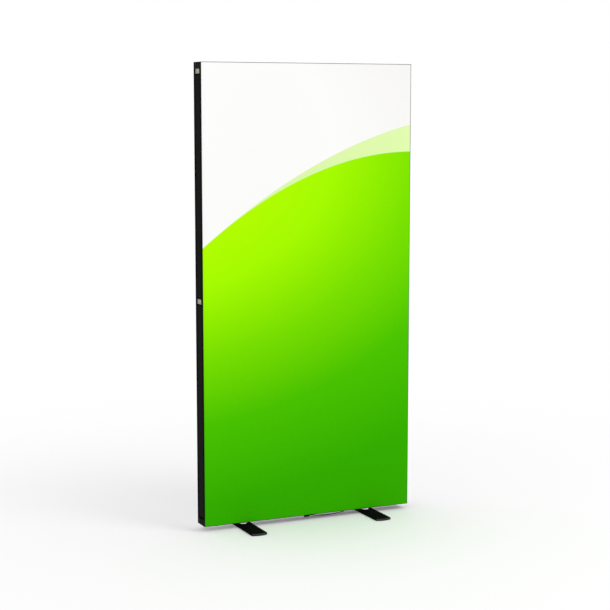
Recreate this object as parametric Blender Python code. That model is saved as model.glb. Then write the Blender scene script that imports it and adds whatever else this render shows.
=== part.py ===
"""A free-standing lightbox wall: a black extruded frame with a printed fabric front, a white fabric back,
bars of lights inside its uprights, locking latches at its joints and two flat steel feet that swivel.

Units are metres, +Z is up and the printed front faces -Y. The origin is on the floor, under the middle of
the frame. Each object is one separate piece of the real wall. "Depth" below always means along Y.
"""

import math

import bmesh
import bpy
from mathutils import Vector

# Whole frame
FRAME_WIDTH = 1.000
FRAME_HEIGHT = 2.000
FRAME_DEPTH = 0.085
FLOOR_GAP = 0.024  # from the floor to the frame's underside

# Clearances
FIT = 0.0003  # between pieces that touch
OVERRUN = 0.002  # how far a cutter passes the wall that it cuts
SINK = 0.0005  # how far two shapes that are joined into one reach into each other

# Extruded section: inward sizes run from the frame's outer face, depths from its middle plane
SECTION_THICKNESS = 0.028
LIP = 0.0015
GROOVE_WIDTH = 0.0035
GROOVE_DEPTH = 0.014
GROOVE_WALL = 0.002
GROOVE_FLOOR_WALL = 0.0025  # between a groove's floor and the channel
RECESS = 0.006  # the outer channel between the two flanges
WEB = 0.002
CHANNEL_WALL = 0.002
MOUTH_LEDGE = 0.010  # from the channel's side to its mouth
MOUTH_LIP = 0.002
EDGE_ROUND = 0.0003  # on the edges that show, here and on the caps and cover strips

# Stretched fabrics and the silicone strips sewn to their edges
FABRIC_THICKNESS = 0.0006
FABRIC_INSET = 0.0002

# Ribbed caps on the rails' ends
CAP_CORE = 0.0055
CAP_PLUG = 0.011
CAP_POCKET_DEPTH = 0.0045
CAP_POCKET_BORDER = 0.0025
CAP_RIB = 0.002
CAP_RIB_MARGIN = 0.003  # from the channel's side to the middle of the outermost rib
CAP_RIBS = 3

# Cover strips in the uprights' outer channels
STRIP_THICKNESS = 0.0015
STRIP_INSET = 0.0005
STRIP_LEG = 0.0018
STRIP_LEG_MARGIN = 0.005  # from the channel's side to a leg
STRIP_GAP_AT_LATCH = 0.005
STRIP_GAP_AT_RAIL = 0.007

# Latches near the top end of each upright half
LATCH_MARGIN = 0.006  # from the channel's side
LATCH_HEIGHT = 0.0205
LATCH_DEPTH = 0.0203
LATCH_ROUND = 0.0008
MIDDLE_LATCH_DROP = 0.0058
BUTTON_WIDTH = 0.016
BUTTON_HEIGHT = 0.008
BUTTON_LENGTH = 0.007
BUTTON_ROUND = 0.001
BUTTON_MARGIN = 0.003  # from the latch's front edge
BUTTON_RAISE = 0.002
BUTTON_TRAVEL = 0.003
PRESSED_SPRING = 0.006  # room that the spring keeps behind a pressed button
STEM_RADIUS = 0.0012
STEM_CLEARANCE = 0.0004
COLLAR_RADIUS = 0.0025
SPRING_WIRE = 0.0007
SPRING_RADIUS = 0.0024
SPRING_TURNS = 4
POINTS_PER_TURN = 10

# Brackets inside the joints
PLATE = 0.0025
ANGLE_UPRIGHT_LEG = 0.060
ANGLE_RAIL_LEG = 0.058
SPLICE_REACH = 0.060
SPLICE_WALL = 0.0021

# Crossbar between the uprights at the joint
CROSSBAR_DEPTH = 0.030
CROSSBAR_HEIGHT = 0.024
CROSSBAR_WALL = 0.0016
CROSSBAR_FOOT_MARGIN = 0.004  # from the edge of the upright's inner face
CROSSBAR_FOOT_HEIGHT = 0.040
CROSSBAR_FOOT_THICKNESS = 0.003
TONGUE_CLEARANCE = 0.0025  # above the middle buttons' collars

# Bars of lights
LIGHT_BAR_MARGIN = 0.008  # from the edge of the upright's inner face
LIGHT_BAR_THICKNESS = 0.002
LIGHT_BAR_END_GAP = 0.025
LENS_PITCH = 0.060
LENS_BASE_RADIUS = 0.008
LENS_TIP_RADIUS = 0.005
LENS_HEIGHT = 0.0055
SOCKET_DEPTH = 0.015
SOCKET_HEIGHT = 0.012
SOCKET_REACH = 0.012

# Power inlet in the bottom rail, and the wires inside the frame
INLET_X = 0.198
INLET_Y = -0.006
INLET_LENGTH = 0.040
INLET_MARGIN = 0.008  # from the channel's side
INLET_HEIGHT = 0.014
SPOUT_RADIUS = 0.005
SPOUT_TIP_RADIUS = 0.0038
SPOUT_DROP = 0.0014
WIRE_DIAMETER = 0.004
WIRE_MARGIN = 0.0035  # from the mouth's back edge
WIRE_RISE = 0.008  # above the web
WIRE_CLIMB = 0.044  # length of the slope from the rail's channel up through its mouth
WIRE_BESIDE_ANGLE = 0.012
WIRE_FLOAT = 0.0005
WIRE_TURN_SHARE = 0.8
WIRE_SLOPE_SHARES = (0.12, 0.50, 0.88)
WIRE_RISE_SHARES = (0.12, 0.40, 0.70)

# Feet
FOOT_SPACING = 0.604
FOOT_WIDTH = 0.071
FOOT_LENGTH = 0.387
FOOT_THICKNESS = 0.010
FOOT_BOW = 0.008
FOOT_CORNER = 0.0006
HUB_RADIUS = 0.0185
HUB_NECK_RADIUS = 0.0150
HUB_BASE_HEIGHT = 0.0125
HUB_CHAMFER = 0.0008
BOLT_RADIUS = 0.004
BOLT_HEAD_RADIUS = 0.011
BOLT_HEAD_HEIGHT = 0.0024
BOLT_HEAD_INSET = 0.0006
BOLT_HEAD_CLEARANCE = 0.0005
BOLT_SPARE = 0.002
HEX_KEY = 0.003
HEX_DEPTH = 0.0014
NUT_LENGTH = 0.036
NUT_WIDTH = 0.018
NUT_HEIGHT = 0.006

# Power lead and its connector, which lie on the floor behind the front face
LEAD_DIAMETER = 0.0036
CONNECTOR_RADIUS = 0.0052
CONNECTOR_LENGTH = 0.022
CONNECTOR_RELIEF_LENGTH = 0.008
CONNECTOR_RELIEF_RADIUS = 0.0029
CONNECTOR_CHAMFER = 0.0006
CONNECTOR_BORE_RADIUS = 0.0032
CONNECTOR_BORE_DEPTH = 0.0095
CONNECTOR_PIN_RADIUS = 0.0010
CONNECTOR_PIN_INSET = 0.0015
LEAD_END_X = 0.0350
LEAD_END_Y = 0.0190
LEAD_ROUTE = [
    (0.1980, -0.0060, 0.0283),
    (0.1980, -0.0060, 0.0252),
    (0.1969, -0.0059, 0.0197),
    (0.1936, -0.0056, 0.0149),
    (0.1886, -0.0051, 0.0119),
    (0.1820, -0.0043, 0.0102),
    (0.1700, -0.0026, 0.0084),
    (0.1560, -0.0004, 0.0063),
    (0.1400, 0.0023, 0.0043),
    (0.1230, 0.0052, 0.0028),
    (0.1050, 0.0083, 0.0021),
    (0.0880, 0.0112, 0.0020),
    (0.0730, 0.0137, 0.0022),
    (0.0600, 0.0159, 0.0030),
    (0.0490, 0.0176, 0.0043),
    (0.0410, 0.0186, 0.0051),
    (LEAD_END_X, LEAD_END_Y, CONNECTOR_RADIUS),
]

# Sizes that follow from the ones above
HALF_WIDTH = FRAME_WIDTH / 2
HALF_DEPTH = FRAME_DEPTH / 2
FRAME_BOTTOM = FLOOR_GAP
FRAME_TOP = FLOOR_GAP + FRAME_HEIGHT
FRAME_MIDDLE = FLOOR_GAP + FRAME_HEIGHT / 2
GROOVE_FLOOR = HALF_DEPTH - GROOVE_DEPTH
CHANNEL = GROOVE_FLOOR - GROOVE_FLOOR_WALL  # half of the channel's width
BODY = CHANNEL + CHANNEL_WALL  # half of the section's width at its inner face
MOUTH = CHANNEL - MOUTH_LEDGE
WEB_BACK = RECESS + WEB
CHANNEL_END = SECTION_THICKNESS - MOUTH_LIP
GROOVE_INNER = LIP + GROOVE_WIDTH
GROOVE_WALL_INNER = GROOVE_INNER + GROOVE_WALL
FABRIC_FRONT = HALF_DEPTH - FABRIC_INSET
FABRIC_BACK = FABRIC_FRONT - FABRIC_THICKNESS
UPRIGHT_BOTTOM = FRAME_BOTTOM + SECTION_THICKNESS + FIT
UPRIGHT_TOP = FRAME_TOP - SECTION_THICKNESS - FIT
CAP_INNER = LIP + FIT
CAP_RIB_SPACING = 2 * (CHANNEL - CAP_RIB_MARGIN) / (CAP_RIBS - 1)
LATCH_HALF = CHANNEL - LATCH_MARGIN
BUTTON_FORWARD = LATCH_HALF - BUTTON_MARGIN - BUTTON_WIDTH / 2  # from the latch's middle
WIRE_OFFSET = MOUTH - WIRE_MARGIN  # behind the middle plane
PLATE_OUTER = LATCH_DEPTH + FIT  # inward place of the bracket plates that the latches hold
PLATE_INNER = PLATE_OUTER + PLATE
BUTTON_POCKET = BUTTON_LENGTH + BUTTON_TRAVEL + PRESSED_SPRING
FOOT_X = FOOT_SPACING / 2

SIDES = {"left": -1, "right": 1}
LEVELS = {"bottom": -1, "top": 1}
ROUND_STEPS = 32
SMALL_ROUND_STEPS = 12
LENS_STEPS = 8
CURVE_RESOLUTION = 2
ROUTE_STEPS = 24
EDGE_STEPS = 2
SHARP_ANGLE = math.radians(35)

for old in list(bpy.data.objects):
    bpy.data.objects.remove(old, do_unlink=True)

assembly = bpy.data.objects.new("lightbox_wall", None)
bpy.context.scene.collection.objects.link(assembly)


def finish(name, colour, roughness, metallic):
    """A plain surface finish."""
    material = bpy.data.materials.new(name)
    material.use_nodes = True
    shader = material.node_tree.nodes["Principled BSDF"]
    shader.inputs["Base Color"].default_value = (*colour, 1)
    shader.inputs["Roughness"].default_value = roughness
    shader.inputs["Metallic"].default_value = metallic
    return material


def place(name, data, material, origin):
    """Adds mesh or curve data as a named piece with its origin at the given point."""
    piece = bpy.data.objects.new(name, data)
    piece.location = origin
    piece.parent = assembly
    data.materials.append(material)
    bpy.context.scene.collection.objects.link(piece)
    return piece


def mesh_from(name, shapes, origin, closed=False):
    """A mesh of one or more lofts. Each loft is a list of rings, and each ring a list of points.

    A closed loft joins its last ring to its first, and any other has a flat face at each end."""
    bm = bmesh.new()
    for rings in shapes:
        loops = [[bm.verts.new(Vector(point) - Vector(origin)) for point in ring] for ring in rings]
        pairs = list(zip(loops, loops[1:] + loops[:1])) if closed else list(zip(loops, loops[1:]))
        for first, second in pairs:
            for a, b, c, d in zip(first, first[1:] + first[:1], second[1:] + second[:1], second):
                bm.faces.new((a, b, c, d))
        if not closed:
            bm.faces.new(loops[0])
            bm.faces.new(loops[-1])
    bmesh.ops.recalc_face_normals(bm, faces=bm.faces)
    mesh = bpy.data.meshes.new(name)
    bm.to_mesh(mesh)
    bm.free()
    return mesh


def middle_of(rings):
    """The middle of the first and last rings, used as a piece's origin."""
    points = [Vector(point) for ring in (rings[0], rings[-1]) for point in ring]
    return sum(points, Vector()) / len(points)


def loft(name, rings, material, origin=None, closed=False):
    """A solid through a list of rings."""
    origin = middle_of(rings) if origin is None else origin
    return place(name, mesh_from(name, [rings], origin, closed), material, origin)


def box_rings(low, high):
    """The two square ends of a box between two corners."""
    (x0, y0, z0), (x1, y1, z1) = low, high
    return [[(x0, y0, z), (x1, y0, z), (x1, y1, z), (x0, y1, z)] for z in (z0, z1)]


def sorted_box(a, b):
    """The lowest and highest corners of the box between two opposite corners."""
    low = tuple(min(p, q) for p, q in zip(a, b))
    high = tuple(max(p, q) for p, q in zip(a, b))
    return low, high


def box(name, a, b, material, origin=None):
    """A box between two opposite corners."""
    return loft(name, box_rings(*sorted_box(a, b)), material, origin)


def turned_rings(profile, centre, axis, steps):
    """Circles for a turned shape. The profile is a list of (radius, distance along the axis)."""
    axis = Vector(axis)
    across = axis.orthogonal().normalized()
    other = axis.cross(across)
    rings = []
    for radius, along in profile:
        ring = []
        for step in range(steps):
            angle = math.tau * step / steps
            spoke = across * math.cos(angle) + other * math.sin(angle)
            ring.append(Vector(centre) + axis * along + spoke * radius)
        rings.append(ring)
    return rings


def turned(name, profile, centre, axis, material, bored=False, steps=ROUND_STEPS):
    """A turned solid, shaded smooth between its sharp edges."""
    rings = turned_rings(profile, centre, axis, steps)
    piece = loft(name, rings, material, origin=Vector(centre), closed=bored)
    shade_round(piece)
    return piece


def shade_round(piece):
    """Smooth shading that keeps the sharp edges."""
    piece.data.shade_smooth()
    piece.data.set_sharp_from_angle(angle=SHARP_ANGLE)


def combine(piece, tool, operation):
    """Joins a helper shape to a piece, or cuts it out, and hides the helper."""
    tool.hide_render = True
    tool.display_type = "WIRE"
    step = piece.modifiers.new(operation.lower(), "BOOLEAN")
    step.operation = operation
    step.solver = "EXACT"
    step.object = tool


def cut(piece, tool):
    combine(piece, tool, "DIFFERENCE")


def join(piece, tool):
    combine(piece, tool, "UNION")


def round_edges(piece, width, segments=2):
    """Rounds every sharp edge of a piece."""
    step = piece.modifiers.new("round_edges", "BEVEL")
    step.width = width
    step.segments = segments
    step.limit_method = "ANGLE"
    step.angle_limit = SHARP_ANGLE
    step.use_clamp_overlap = True


def mirrored(points):
    """The (inward, depth) points of a section's front half, and then the mirror image of them."""
    return points + [(u, -v) for u, v in reversed(points)]


def rounded(points, corners, radius):
    """A section's outline with an arc in place of each of the given right-angled corners."""
    outline = []
    for before, point, after in zip(points[-1:] + points, points, points[1:] + points[:1]):
        if point not in corners:
            outline.append(point)
            continue
        to_before = (Vector(before) - Vector(point)).normalized() * radius
        to_after = (Vector(after) - Vector(point)).normalized() * radius
        centre = Vector(point) + to_before + to_after
        for step in range(EDGE_STEPS + 1):
            angle = math.pi / 2 * step / EDGE_STEPS
            outline.append(tuple(centre - to_after * math.cos(angle) - to_before * math.sin(angle)))
    return outline


def on_upright(side, inward, depth, z):
    """A point of an upright's section, at a height."""
    return (side * (HALF_WIDTH - inward), depth, z)


def on_rail(level, inward, depth, x):
    """A point of a rail's section, at a place along it."""
    z = FRAME_TOP - inward if level > 0 else FRAME_BOTTOM + inward
    return (x, depth, z)


def smooth_route(points, spacing):
    """Evenly spaced points on a smooth curve through the given ones, and the curve's length.

    The slope at a point is a mean of its two chords, in which the shorter chord counts for more."""
    points = [Vector(point) for point in points]
    chords = [q - p for p, q in zip(points, points[1:])]
    slopes = [chords[0].normalized()]
    for before, after in zip(chords, chords[1:]):
        mean = before.normalized() * after.length + after.normalized() * before.length
        slopes.append(mean / (before.length + after.length))
    slopes.append(chords[-1].normalized())
    fine = []
    for a, chord, slope_a, slope_b in zip(points, chords, slopes, slopes[1:]):
        for step in range(ROUTE_STEPS):
            t = step / ROUTE_STEPS
            ease = t * t * (3 - 2 * t)
            pull = slope_a * (t * (1 - t) ** 2) - slope_b * (t * t * (1 - t))
            fine.append(a + chord * ease + pull * chord.length)
    fine.append(points[-1])
    lengths = [(q - p).length for p, q in zip(fine, fine[1:])]
    total = sum(lengths)
    count = max(2, round(total / spacing))
    route = []
    passed = 0.0
    for p, q, length in zip(fine, fine[1:], lengths):
        while len(route) < count and total * len(route) / count <= passed + length:
            route.append(p.lerp(q, (total * len(route) / count - passed) / length))
        passed += length
    return route + [fine[-1]], total


def tube(name, route, diameter, material, resolution=CURVE_RESOLUTION):
    """A round tube with flat ends along a list of points."""
    curve = bpy.data.curves.new(name, "CURVE")
    curve.dimensions = "3D"
    curve.bevel_depth = diameter / 2
    curve.bevel_resolution = resolution
    curve.use_fill_caps = True
    spline = curve.splines.new("POLY")
    spline.points.add(len(route) - 1)
    origin = Vector(route[0])
    for spot, point in zip(spline.points, route):
        spot.co = (*(Vector(point) - origin), 1)
    return place(name, curve, material, origin)


# Finishes
BLACK_ALUMINIUM = finish("black_aluminium", (0.012, 0.012, 0.013), 0.42, 0.6)
BLACK_PLASTIC = finish("black_plastic", (0.010, 0.010, 0.011), 0.5, 0)
DARK_STRIP = finish("dark_strip", (0.022, 0.022, 0.023), 0.6, 0)
GREY_PLASTIC = finish("grey_plastic", (0.36, 0.36, 0.35), 0.45, 0)
YELLOW_PLASTIC = finish("yellow_plastic", (0.80, 0.62, 0.05), 0.35, 0)
PLAIN_STEEL = finish("plain_steel", (0.56, 0.56, 0.57), 0.35, 1)
BARE_ALUMINIUM = finish("bare_aluminium", (0.70, 0.70, 0.72), 0.4, 1)
WHITE_METAL = finish("white_metal", (0.80, 0.80, 0.80), 0.5, 0)
BLACK_STEEL = finish("black_steel", (0.014, 0.014, 0.014), 0.5, 0.2)
PRINTED_FABRIC = finish("printed_fabric", (0.16, 0.55, 0.01), 0.8, 0)
WHITE_FABRIC = finish("white_fabric", (0.82, 0.82, 0.82), 0.85, 0)
CLEAR_SILICONE = finish("clear_silicone", (0.62, 0.62, 0.60), 0.55, 0)
WIRE_SHEATH = finish("wire_sheath", (0.015, 0.015, 0.016), 0.55, 0)


# The extruded frame


def section_outline():
    """The extrusion's section as (inward, depth) points."""
    shelf = FABRIC_BACK - FIT
    half = [
        (RECESS, CHANNEL),
        (0, CHANNEL),
        (0, HALF_DEPTH),
        (LIP, HALF_DEPTH),
        (LIP, GROOVE_FLOOR),
        (GROOVE_INNER, GROOVE_FLOOR),
        (GROOVE_INNER, shelf),
        (GROOVE_WALL_INNER, shelf),
        (GROOVE_WALL_INNER, BODY),
        (SECTION_THICKNESS, BODY),
        (SECTION_THICKNESS, MOUTH),
        (CHANNEL_END, MOUTH),
        (CHANNEL_END, CHANNEL),
        (WEB_BACK, CHANNEL),
    ]
    corners = [(0, CHANNEL), (0, HALF_DEPTH), (LIP, HALF_DEPTH)]
    return rounded(mirrored(half), mirrored(corners), EDGE_ROUND)


def upright(side_name, half_name, z0, z1):
    """Half of one upright, cut at its top end for the latch."""
    side = SIDES[side_name]
    rings = [[on_upright(side, u, v, z) for u, v in section_outline()] for z in (z0, z1)]
    return loft(f"upright_{side_name}_{half_name}", rings, BLACK_ALUMINIUM)


def rail(level_name):
    """The top or bottom rail, which runs the whole width between the end caps."""
    level = LEVELS[level_name]
    end = HALF_WIDTH - CAP_INNER
    core_end = HALF_WIDTH - CAP_CORE - FIT
    outline = section_outline()
    rings = [[on_rail(level, u, v, x) for u, v in outline] for x in (-end, end)]
    piece = loft(f"{level_name}_rail", rings, BLACK_ALUMINIUM)
    for side_name, side in SIDES.items():
        core = BODY + FIT
        a = on_rail(level, -OVERRUN, -core, side * core_end)
        b = on_rail(level, SECTION_THICKNESS + OVERRUN, core, side * (HALF_WIDTH + OVERRUN))
        cut(piece, box(f"cap_seat_{level_name}_{side_name}", a, b, BLACK_ALUMINIUM))
    return piece


def end_cap(level_name, side_name):
    """A moulded cap that closes a rail's end, with three upright ribs and a plug in the rail's channel."""
    level = LEVELS[level_name]
    side = SIDES[side_name]
    name = f"end_cap_{level_name}_{side_name}"
    thickness = SECTION_THICKNESS

    def corner(inward, depth, from_end):
        return on_rail(level, inward, depth, side * (HALF_WIDTH - from_end))

    piece = box(name, corner(0, -HALF_DEPTH, 0), corner(thickness, HALF_DEPTH, LIP), BLACK_PLASTIC)
    round_edges(piece, EDGE_ROUND)
    core_box = (corner(0, -BODY, LIP - SINK), corner(thickness, BODY, CAP_CORE))
    join(piece, box(f"{name}_core", *core_box, BLACK_PLASTIC))
    plug = CHANNEL - FIT
    plug_low = corner(WEB_BACK + FIT, -plug, CAP_CORE - SINK)
    plug_high = corner(CHANNEL_END - FIT, plug, CAP_CORE + CAP_PLUG)
    join(piece, box(f"{name}_plug", plug_low, plug_high, BLACK_PLASTIC))
    ribs = [(index - (CAP_RIBS - 1) / 2) * CAP_RIB_SPACING for index in range(CAP_RIBS)]
    edges = [-CHANNEL] + [rib + half for rib in ribs for half in (-CAP_RIB / 2, CAP_RIB / 2)] + [CHANNEL]
    for index in range(CAP_RIBS + 1):
        low = corner(CAP_POCKET_BORDER, edges[2 * index], -OVERRUN)
        high = corner(thickness - CAP_POCKET_BORDER, edges[2 * index + 1], CAP_POCKET_DEPTH)
        cut(piece, box(f"{name}_pocket_{index}", low, high, BLACK_PLASTIC))
    return piece


def cover_strip(side_name, half_name, z0, z1):
    """A strip with two clip legs that covers an upright's outer channel."""
    side = SIDES[side_name]
    half_width = CHANNEL - FIT
    leg_outer = CHANNEL - STRIP_LEG_MARGIN
    leg_inner = leg_outer - STRIP_LEG
    back = STRIP_INSET + STRIP_THICKNESS
    foot = RECESS - FIT
    half = [
        (STRIP_INSET, half_width),
        (back, half_width),
        (back, leg_outer),
        (foot, leg_outer),
        (foot, leg_inner),
        (back, leg_inner),
    ]
    outline = rounded(mirrored(half), mirrored([(STRIP_INSET, half_width)]), EDGE_ROUND)
    rings = [[on_upright(side, u, v, z) for u, v in outline] for z in (z0, z1)]
    return loft(f"cover_strip_{side_name}_{half_name}", rings, DARK_STRIP)


# Latches


def latch(side_name, place_name, host, top, open_top):
    """A latch housing in a window of its upright, with its spring button."""
    side = SIDES[side_name]
    bottom = top - LATCH_HEIGHT
    half = LATCH_HALF
    window_top = top + (SECTION_THICKNESS if open_top else FIT)
    window_low = on_upright(side, RECESS - OVERRUN, -half - FIT, bottom - FIT)
    window_high = on_upright(side, WEB_BACK + OVERRUN, half + FIT, window_top)
    cut(host, box(f"window_{side_name}_{place_name}", window_low, window_high, BLACK_ALUMINIUM))

    name = f"latch_housing_{side_name}_{place_name}"
    low = on_upright(side, 0, -half, bottom)
    high = on_upright(side, LATCH_DEPTH, half, top)
    housing = box(name, low, high, GREY_PLASTIC)
    round_edges(housing, LATCH_ROUND)

    y = -BUTTON_FORWARD
    z = (bottom + top) / 2 + BUTTON_RAISE
    half_y = BUTTON_WIDTH / 2
    half_z = BUTTON_HEIGHT / 2
    pocket_low = on_upright(side, -OVERRUN, y - half_y - FIT, z - half_z - FIT)
    pocket_high = on_upright(side, BUTTON_POCKET, y + half_y + FIT, z + half_z + FIT)
    cut(housing, box(f"{name}_pocket", pocket_low, pocket_high, GREY_PLASTIC))
    axis = (-side, 0, 0)
    centre = on_upright(side, 0, y, z)
    hole = STEM_RADIUS + STEM_CLEARANCE
    hole_profile = [(hole, BUTTON_POCKET - OVERRUN), (hole, LATCH_DEPTH + OVERRUN)]
    cut(housing, turned(f"{name}_hole", hole_profile, centre, axis, GREY_PLASTIC, steps=SMALL_ROUND_STEPS))

    button_name = f"latch_button_{side_name}_{place_name}"
    button_low = on_upright(side, 0, y - half_y, z - half_z)
    button_high = on_upright(side, BUTTON_LENGTH, y + half_y, z + half_z)
    button = box(button_name, button_low, button_high, YELLOW_PLASTIC, origin=Vector(centre))
    round_edges(button, BUTTON_ROUND)
    stem_profile = [
        (STEM_RADIUS, BUTTON_LENGTH - SINK),
        (STEM_RADIUS, PLATE_OUTER),
        (COLLAR_RADIUS, PLATE_OUTER),
        (COLLAR_RADIUS, PLATE_INNER + FIT),
    ]
    stem = turned(f"{button_name}_stem", stem_profile, centre, axis, YELLOW_PLASTIC, steps=SMALL_ROUND_STEPS)
    join(button, stem)

    spring_start = BUTTON_LENGTH + FIT + SPRING_WIRE / 2
    spring_end = BUTTON_POCKET - FIT - SPRING_WIRE / 2
    coil(f"latch_spring_{side_name}_{place_name}", side, y, z, spring_start, spring_end)
    return y, z


def coil(name, side, y, z, start, end):
    """A compression spring round the button's stem, from one inward place to another."""
    count = SPRING_TURNS * POINTS_PER_TURN
    route = []
    for step in range(count + 1):
        angle = math.tau * step / POINTS_PER_TURN
        inward = start + (end - start) * step / count
        turn_y = y + SPRING_RADIUS * math.cos(angle)
        turn_z = z + SPRING_RADIUS * math.sin(angle)
        route.append(on_upright(side, inward, turn_y, turn_z))
    pairs = zip(route, route[POINTS_PER_TURN:])
    least = min((Vector(p) - Vector(q)).length for p, q in pairs) - SPRING_WIRE
    print(f"{name}: least gap between turns {least * 1000:.2f} mm")
    return tube(name, route, SPRING_WIRE, PLAIN_STEEL, resolution=1)


def keyhole(piece, side, y, z, z_free_end):
    """Cuts the hole for a button's collar, and the slot that its stem leaves by."""
    name = f"{piece.name}_keyhole"
    centre = on_upright(side, 0, y, z)
    hole = COLLAR_RADIUS + STEM_CLEARANCE
    profile = [(hole, PLATE_OUTER - OVERRUN), (hole, PLATE_INNER + OVERRUN)]
    cut(piece, turned(name, profile, centre, (-side, 0, 0), BARE_ALUMINIUM, steps=SMALL_ROUND_STEPS))
    slot = STEM_RADIUS + STEM_CLEARANCE
    low = on_upright(side, PLATE_OUTER - OVERRUN, y - slot, z)
    high = on_upright(side, PLATE_INNER + OVERRUN, y + slot, z_free_end)
    cut(piece, box(f"{name}_slot", low, high, BARE_ALUMINIUM))


# Brackets inside the joints


def corner_angle(level_name, side_name, y, z_from_end):
    """An angle plate: one leg lies in the rail, and the other passes the rail's mouth into the upright."""
    level = LEVELS[level_name]
    side = SIDES[side_name]
    name = f"corner_angle_{level_name}_{side_name}"
    rail_outer = CHANNEL_END - FIT
    x_outer = side * (HALF_WIDTH - PLATE_OUTER)
    x_end = side * (HALF_WIDTH - PLATE_OUTER - ANGLE_RAIL_LEG)
    depth = CHANNEL - FIT
    piece = box(
        name,
        on_rail(level, rail_outer - PLATE, -depth, x_outer),
        on_rail(level, rail_outer, depth, x_end),
        BARE_ALUMINIUM,
    )
    half = MOUTH - FIT
    x_inner = side * (HALF_WIDTH - PLATE_INNER)
    low = on_rail(level, rail_outer - PLATE / 2, -half, x_outer)
    high = on_rail(level, SECTION_THICKNESS + ANGLE_UPRIGHT_LEG, half, x_inner)
    join(piece, box(f"{name}_leg", low, high, BARE_ALUMINIUM))
    upright_end = UPRIGHT_TOP if level > 0 else UPRIGHT_BOTTOM
    free_end = high[2] - level * OVERRUN
    keyhole(piece, side, y, upright_end - level * z_from_end, free_end)
    return piece


def middle_splice(side_name, y, z):
    """A channel bar that joins the two halves of an upright."""
    side = SIDES[side_name]
    outer = CHANNEL - FIT
    inner = outer - SPLICE_WALL
    start = WEB_BACK + FIT
    half = [(start, outer), (start, inner), (PLATE_OUTER, inner)]
    outline = half + [(u, -v) for u, v in reversed(half)] + [(PLATE_INNER, -outer), (PLATE_INNER, outer)]
    ends = (FRAME_MIDDLE - SPLICE_REACH, FRAME_MIDDLE + SPLICE_REACH)
    rings = [[on_upright(side, u, v, height) for u, v in outline] for height in ends]
    piece = loft(f"middle_splice_{side_name}", rings, BARE_ALUMINIUM)
    keyhole(piece, side, y, z, ends[0] - OVERRUN)
    return piece


def crossbar():
    """A channel bar between the uprights, with a foot and a tongue at each end."""
    foot_outer = HALF_WIDTH - SECTION_THICKNESS - FIT
    foot_inner = foot_outer - CROSSBAR_FOOT_THICKNESS
    half_y = CROSSBAR_DEPTH / 2
    half_z = CROSSBAR_HEIGHT / 2
    inner_y = half_y - CROSSBAR_WALL
    inner_z = half_z - CROSSBAR_WALL
    outline = [
        (-half_y, -half_z),
        (-half_y, half_z),
        (half_y, half_z),
        (half_y, -half_z),
        (inner_y, -half_z),
        (inner_y, inner_z),
        (-inner_y, inner_z),
        (-inner_y, -half_z),
    ]
    reach = foot_inner + SINK
    rings = [[(x, y, FRAME_MIDDLE + z) for y, z in outline] for x in (-reach, reach)]
    piece = loft("crossbar", rings, BARE_ALUMINIUM)
    foot_y = BODY - CROSSBAR_FOOT_MARGIN
    foot_z = CROSSBAR_FOOT_HEIGHT / 2
    tongue_y = MOUTH - FIT
    tongue_z = MIDDLE_LATCH_DROP + LATCH_HEIGHT / 2 - BUTTON_RAISE - COLLAR_RADIUS - TONGUE_CLEARANCE
    tongue_end = HALF_WIDTH - PLATE_INNER - FIT
    for side_name, side in SIDES.items():
        foot_low = (side * foot_inner, -foot_y, FRAME_MIDDLE - foot_z)
        foot_high = (side * foot_outer, foot_y, FRAME_MIDDLE + foot_z)
        join(piece, box(f"crossbar_foot_{side_name}", foot_low, foot_high, BARE_ALUMINIUM))
        tongue_low = (side * (foot_outer - SINK), -tongue_y, FRAME_MIDDLE - tongue_z)
        tongue_high = (side * tongue_end, tongue_y, FRAME_MIDDLE + tongue_z)
        join(piece, box(f"crossbar_tongue_{side_name}", tongue_low, tongue_high, BARE_ALUMINIUM))
    return piece


# Fabrics and their edge strips


def fabric(name, face, material):
    """A stretched cloth. The face is -1 for the front and 1 for the back."""
    edge = LIP + FIT
    low = (-HALF_WIDTH + edge, face * FABRIC_BACK, FRAME_BOTTOM + edge)
    high = (HALF_WIDTH - edge, face * FABRIC_FRONT, FRAME_TOP - edge)
    return box(name, low, high, material)


def edge_strips(face_name, face):
    """The four silicone strips, sewn to a fabric's edges, that stand in the frame's grooves."""
    outer = LIP + FIT
    inner = GROOVE_INNER - FIT
    floor = face * (GROOVE_FLOOR + FIT)
    top = face * (FABRIC_BACK - FIT)
    for level_name, level in LEVELS.items():
        end = HALF_WIDTH - outer
        name = f"edge_strip_{face_name}_{level_name}"
        box(name, on_rail(level, outer, floor, -end), on_rail(level, inner, top, end), CLEAR_SILICONE)
    z0 = FRAME_BOTTOM + GROOVE_WALL_INNER + FIT
    z1 = FRAME_TOP - GROOVE_WALL_INNER - FIT
    for side_name, side in SIDES.items():
        name = f"edge_strip_{face_name}_{side_name}"
        box(name, on_upright(side, outer, floor, z0), on_upright(side, inner, top, z1), CLEAR_SILICONE)


# Lights and wiring


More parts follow.
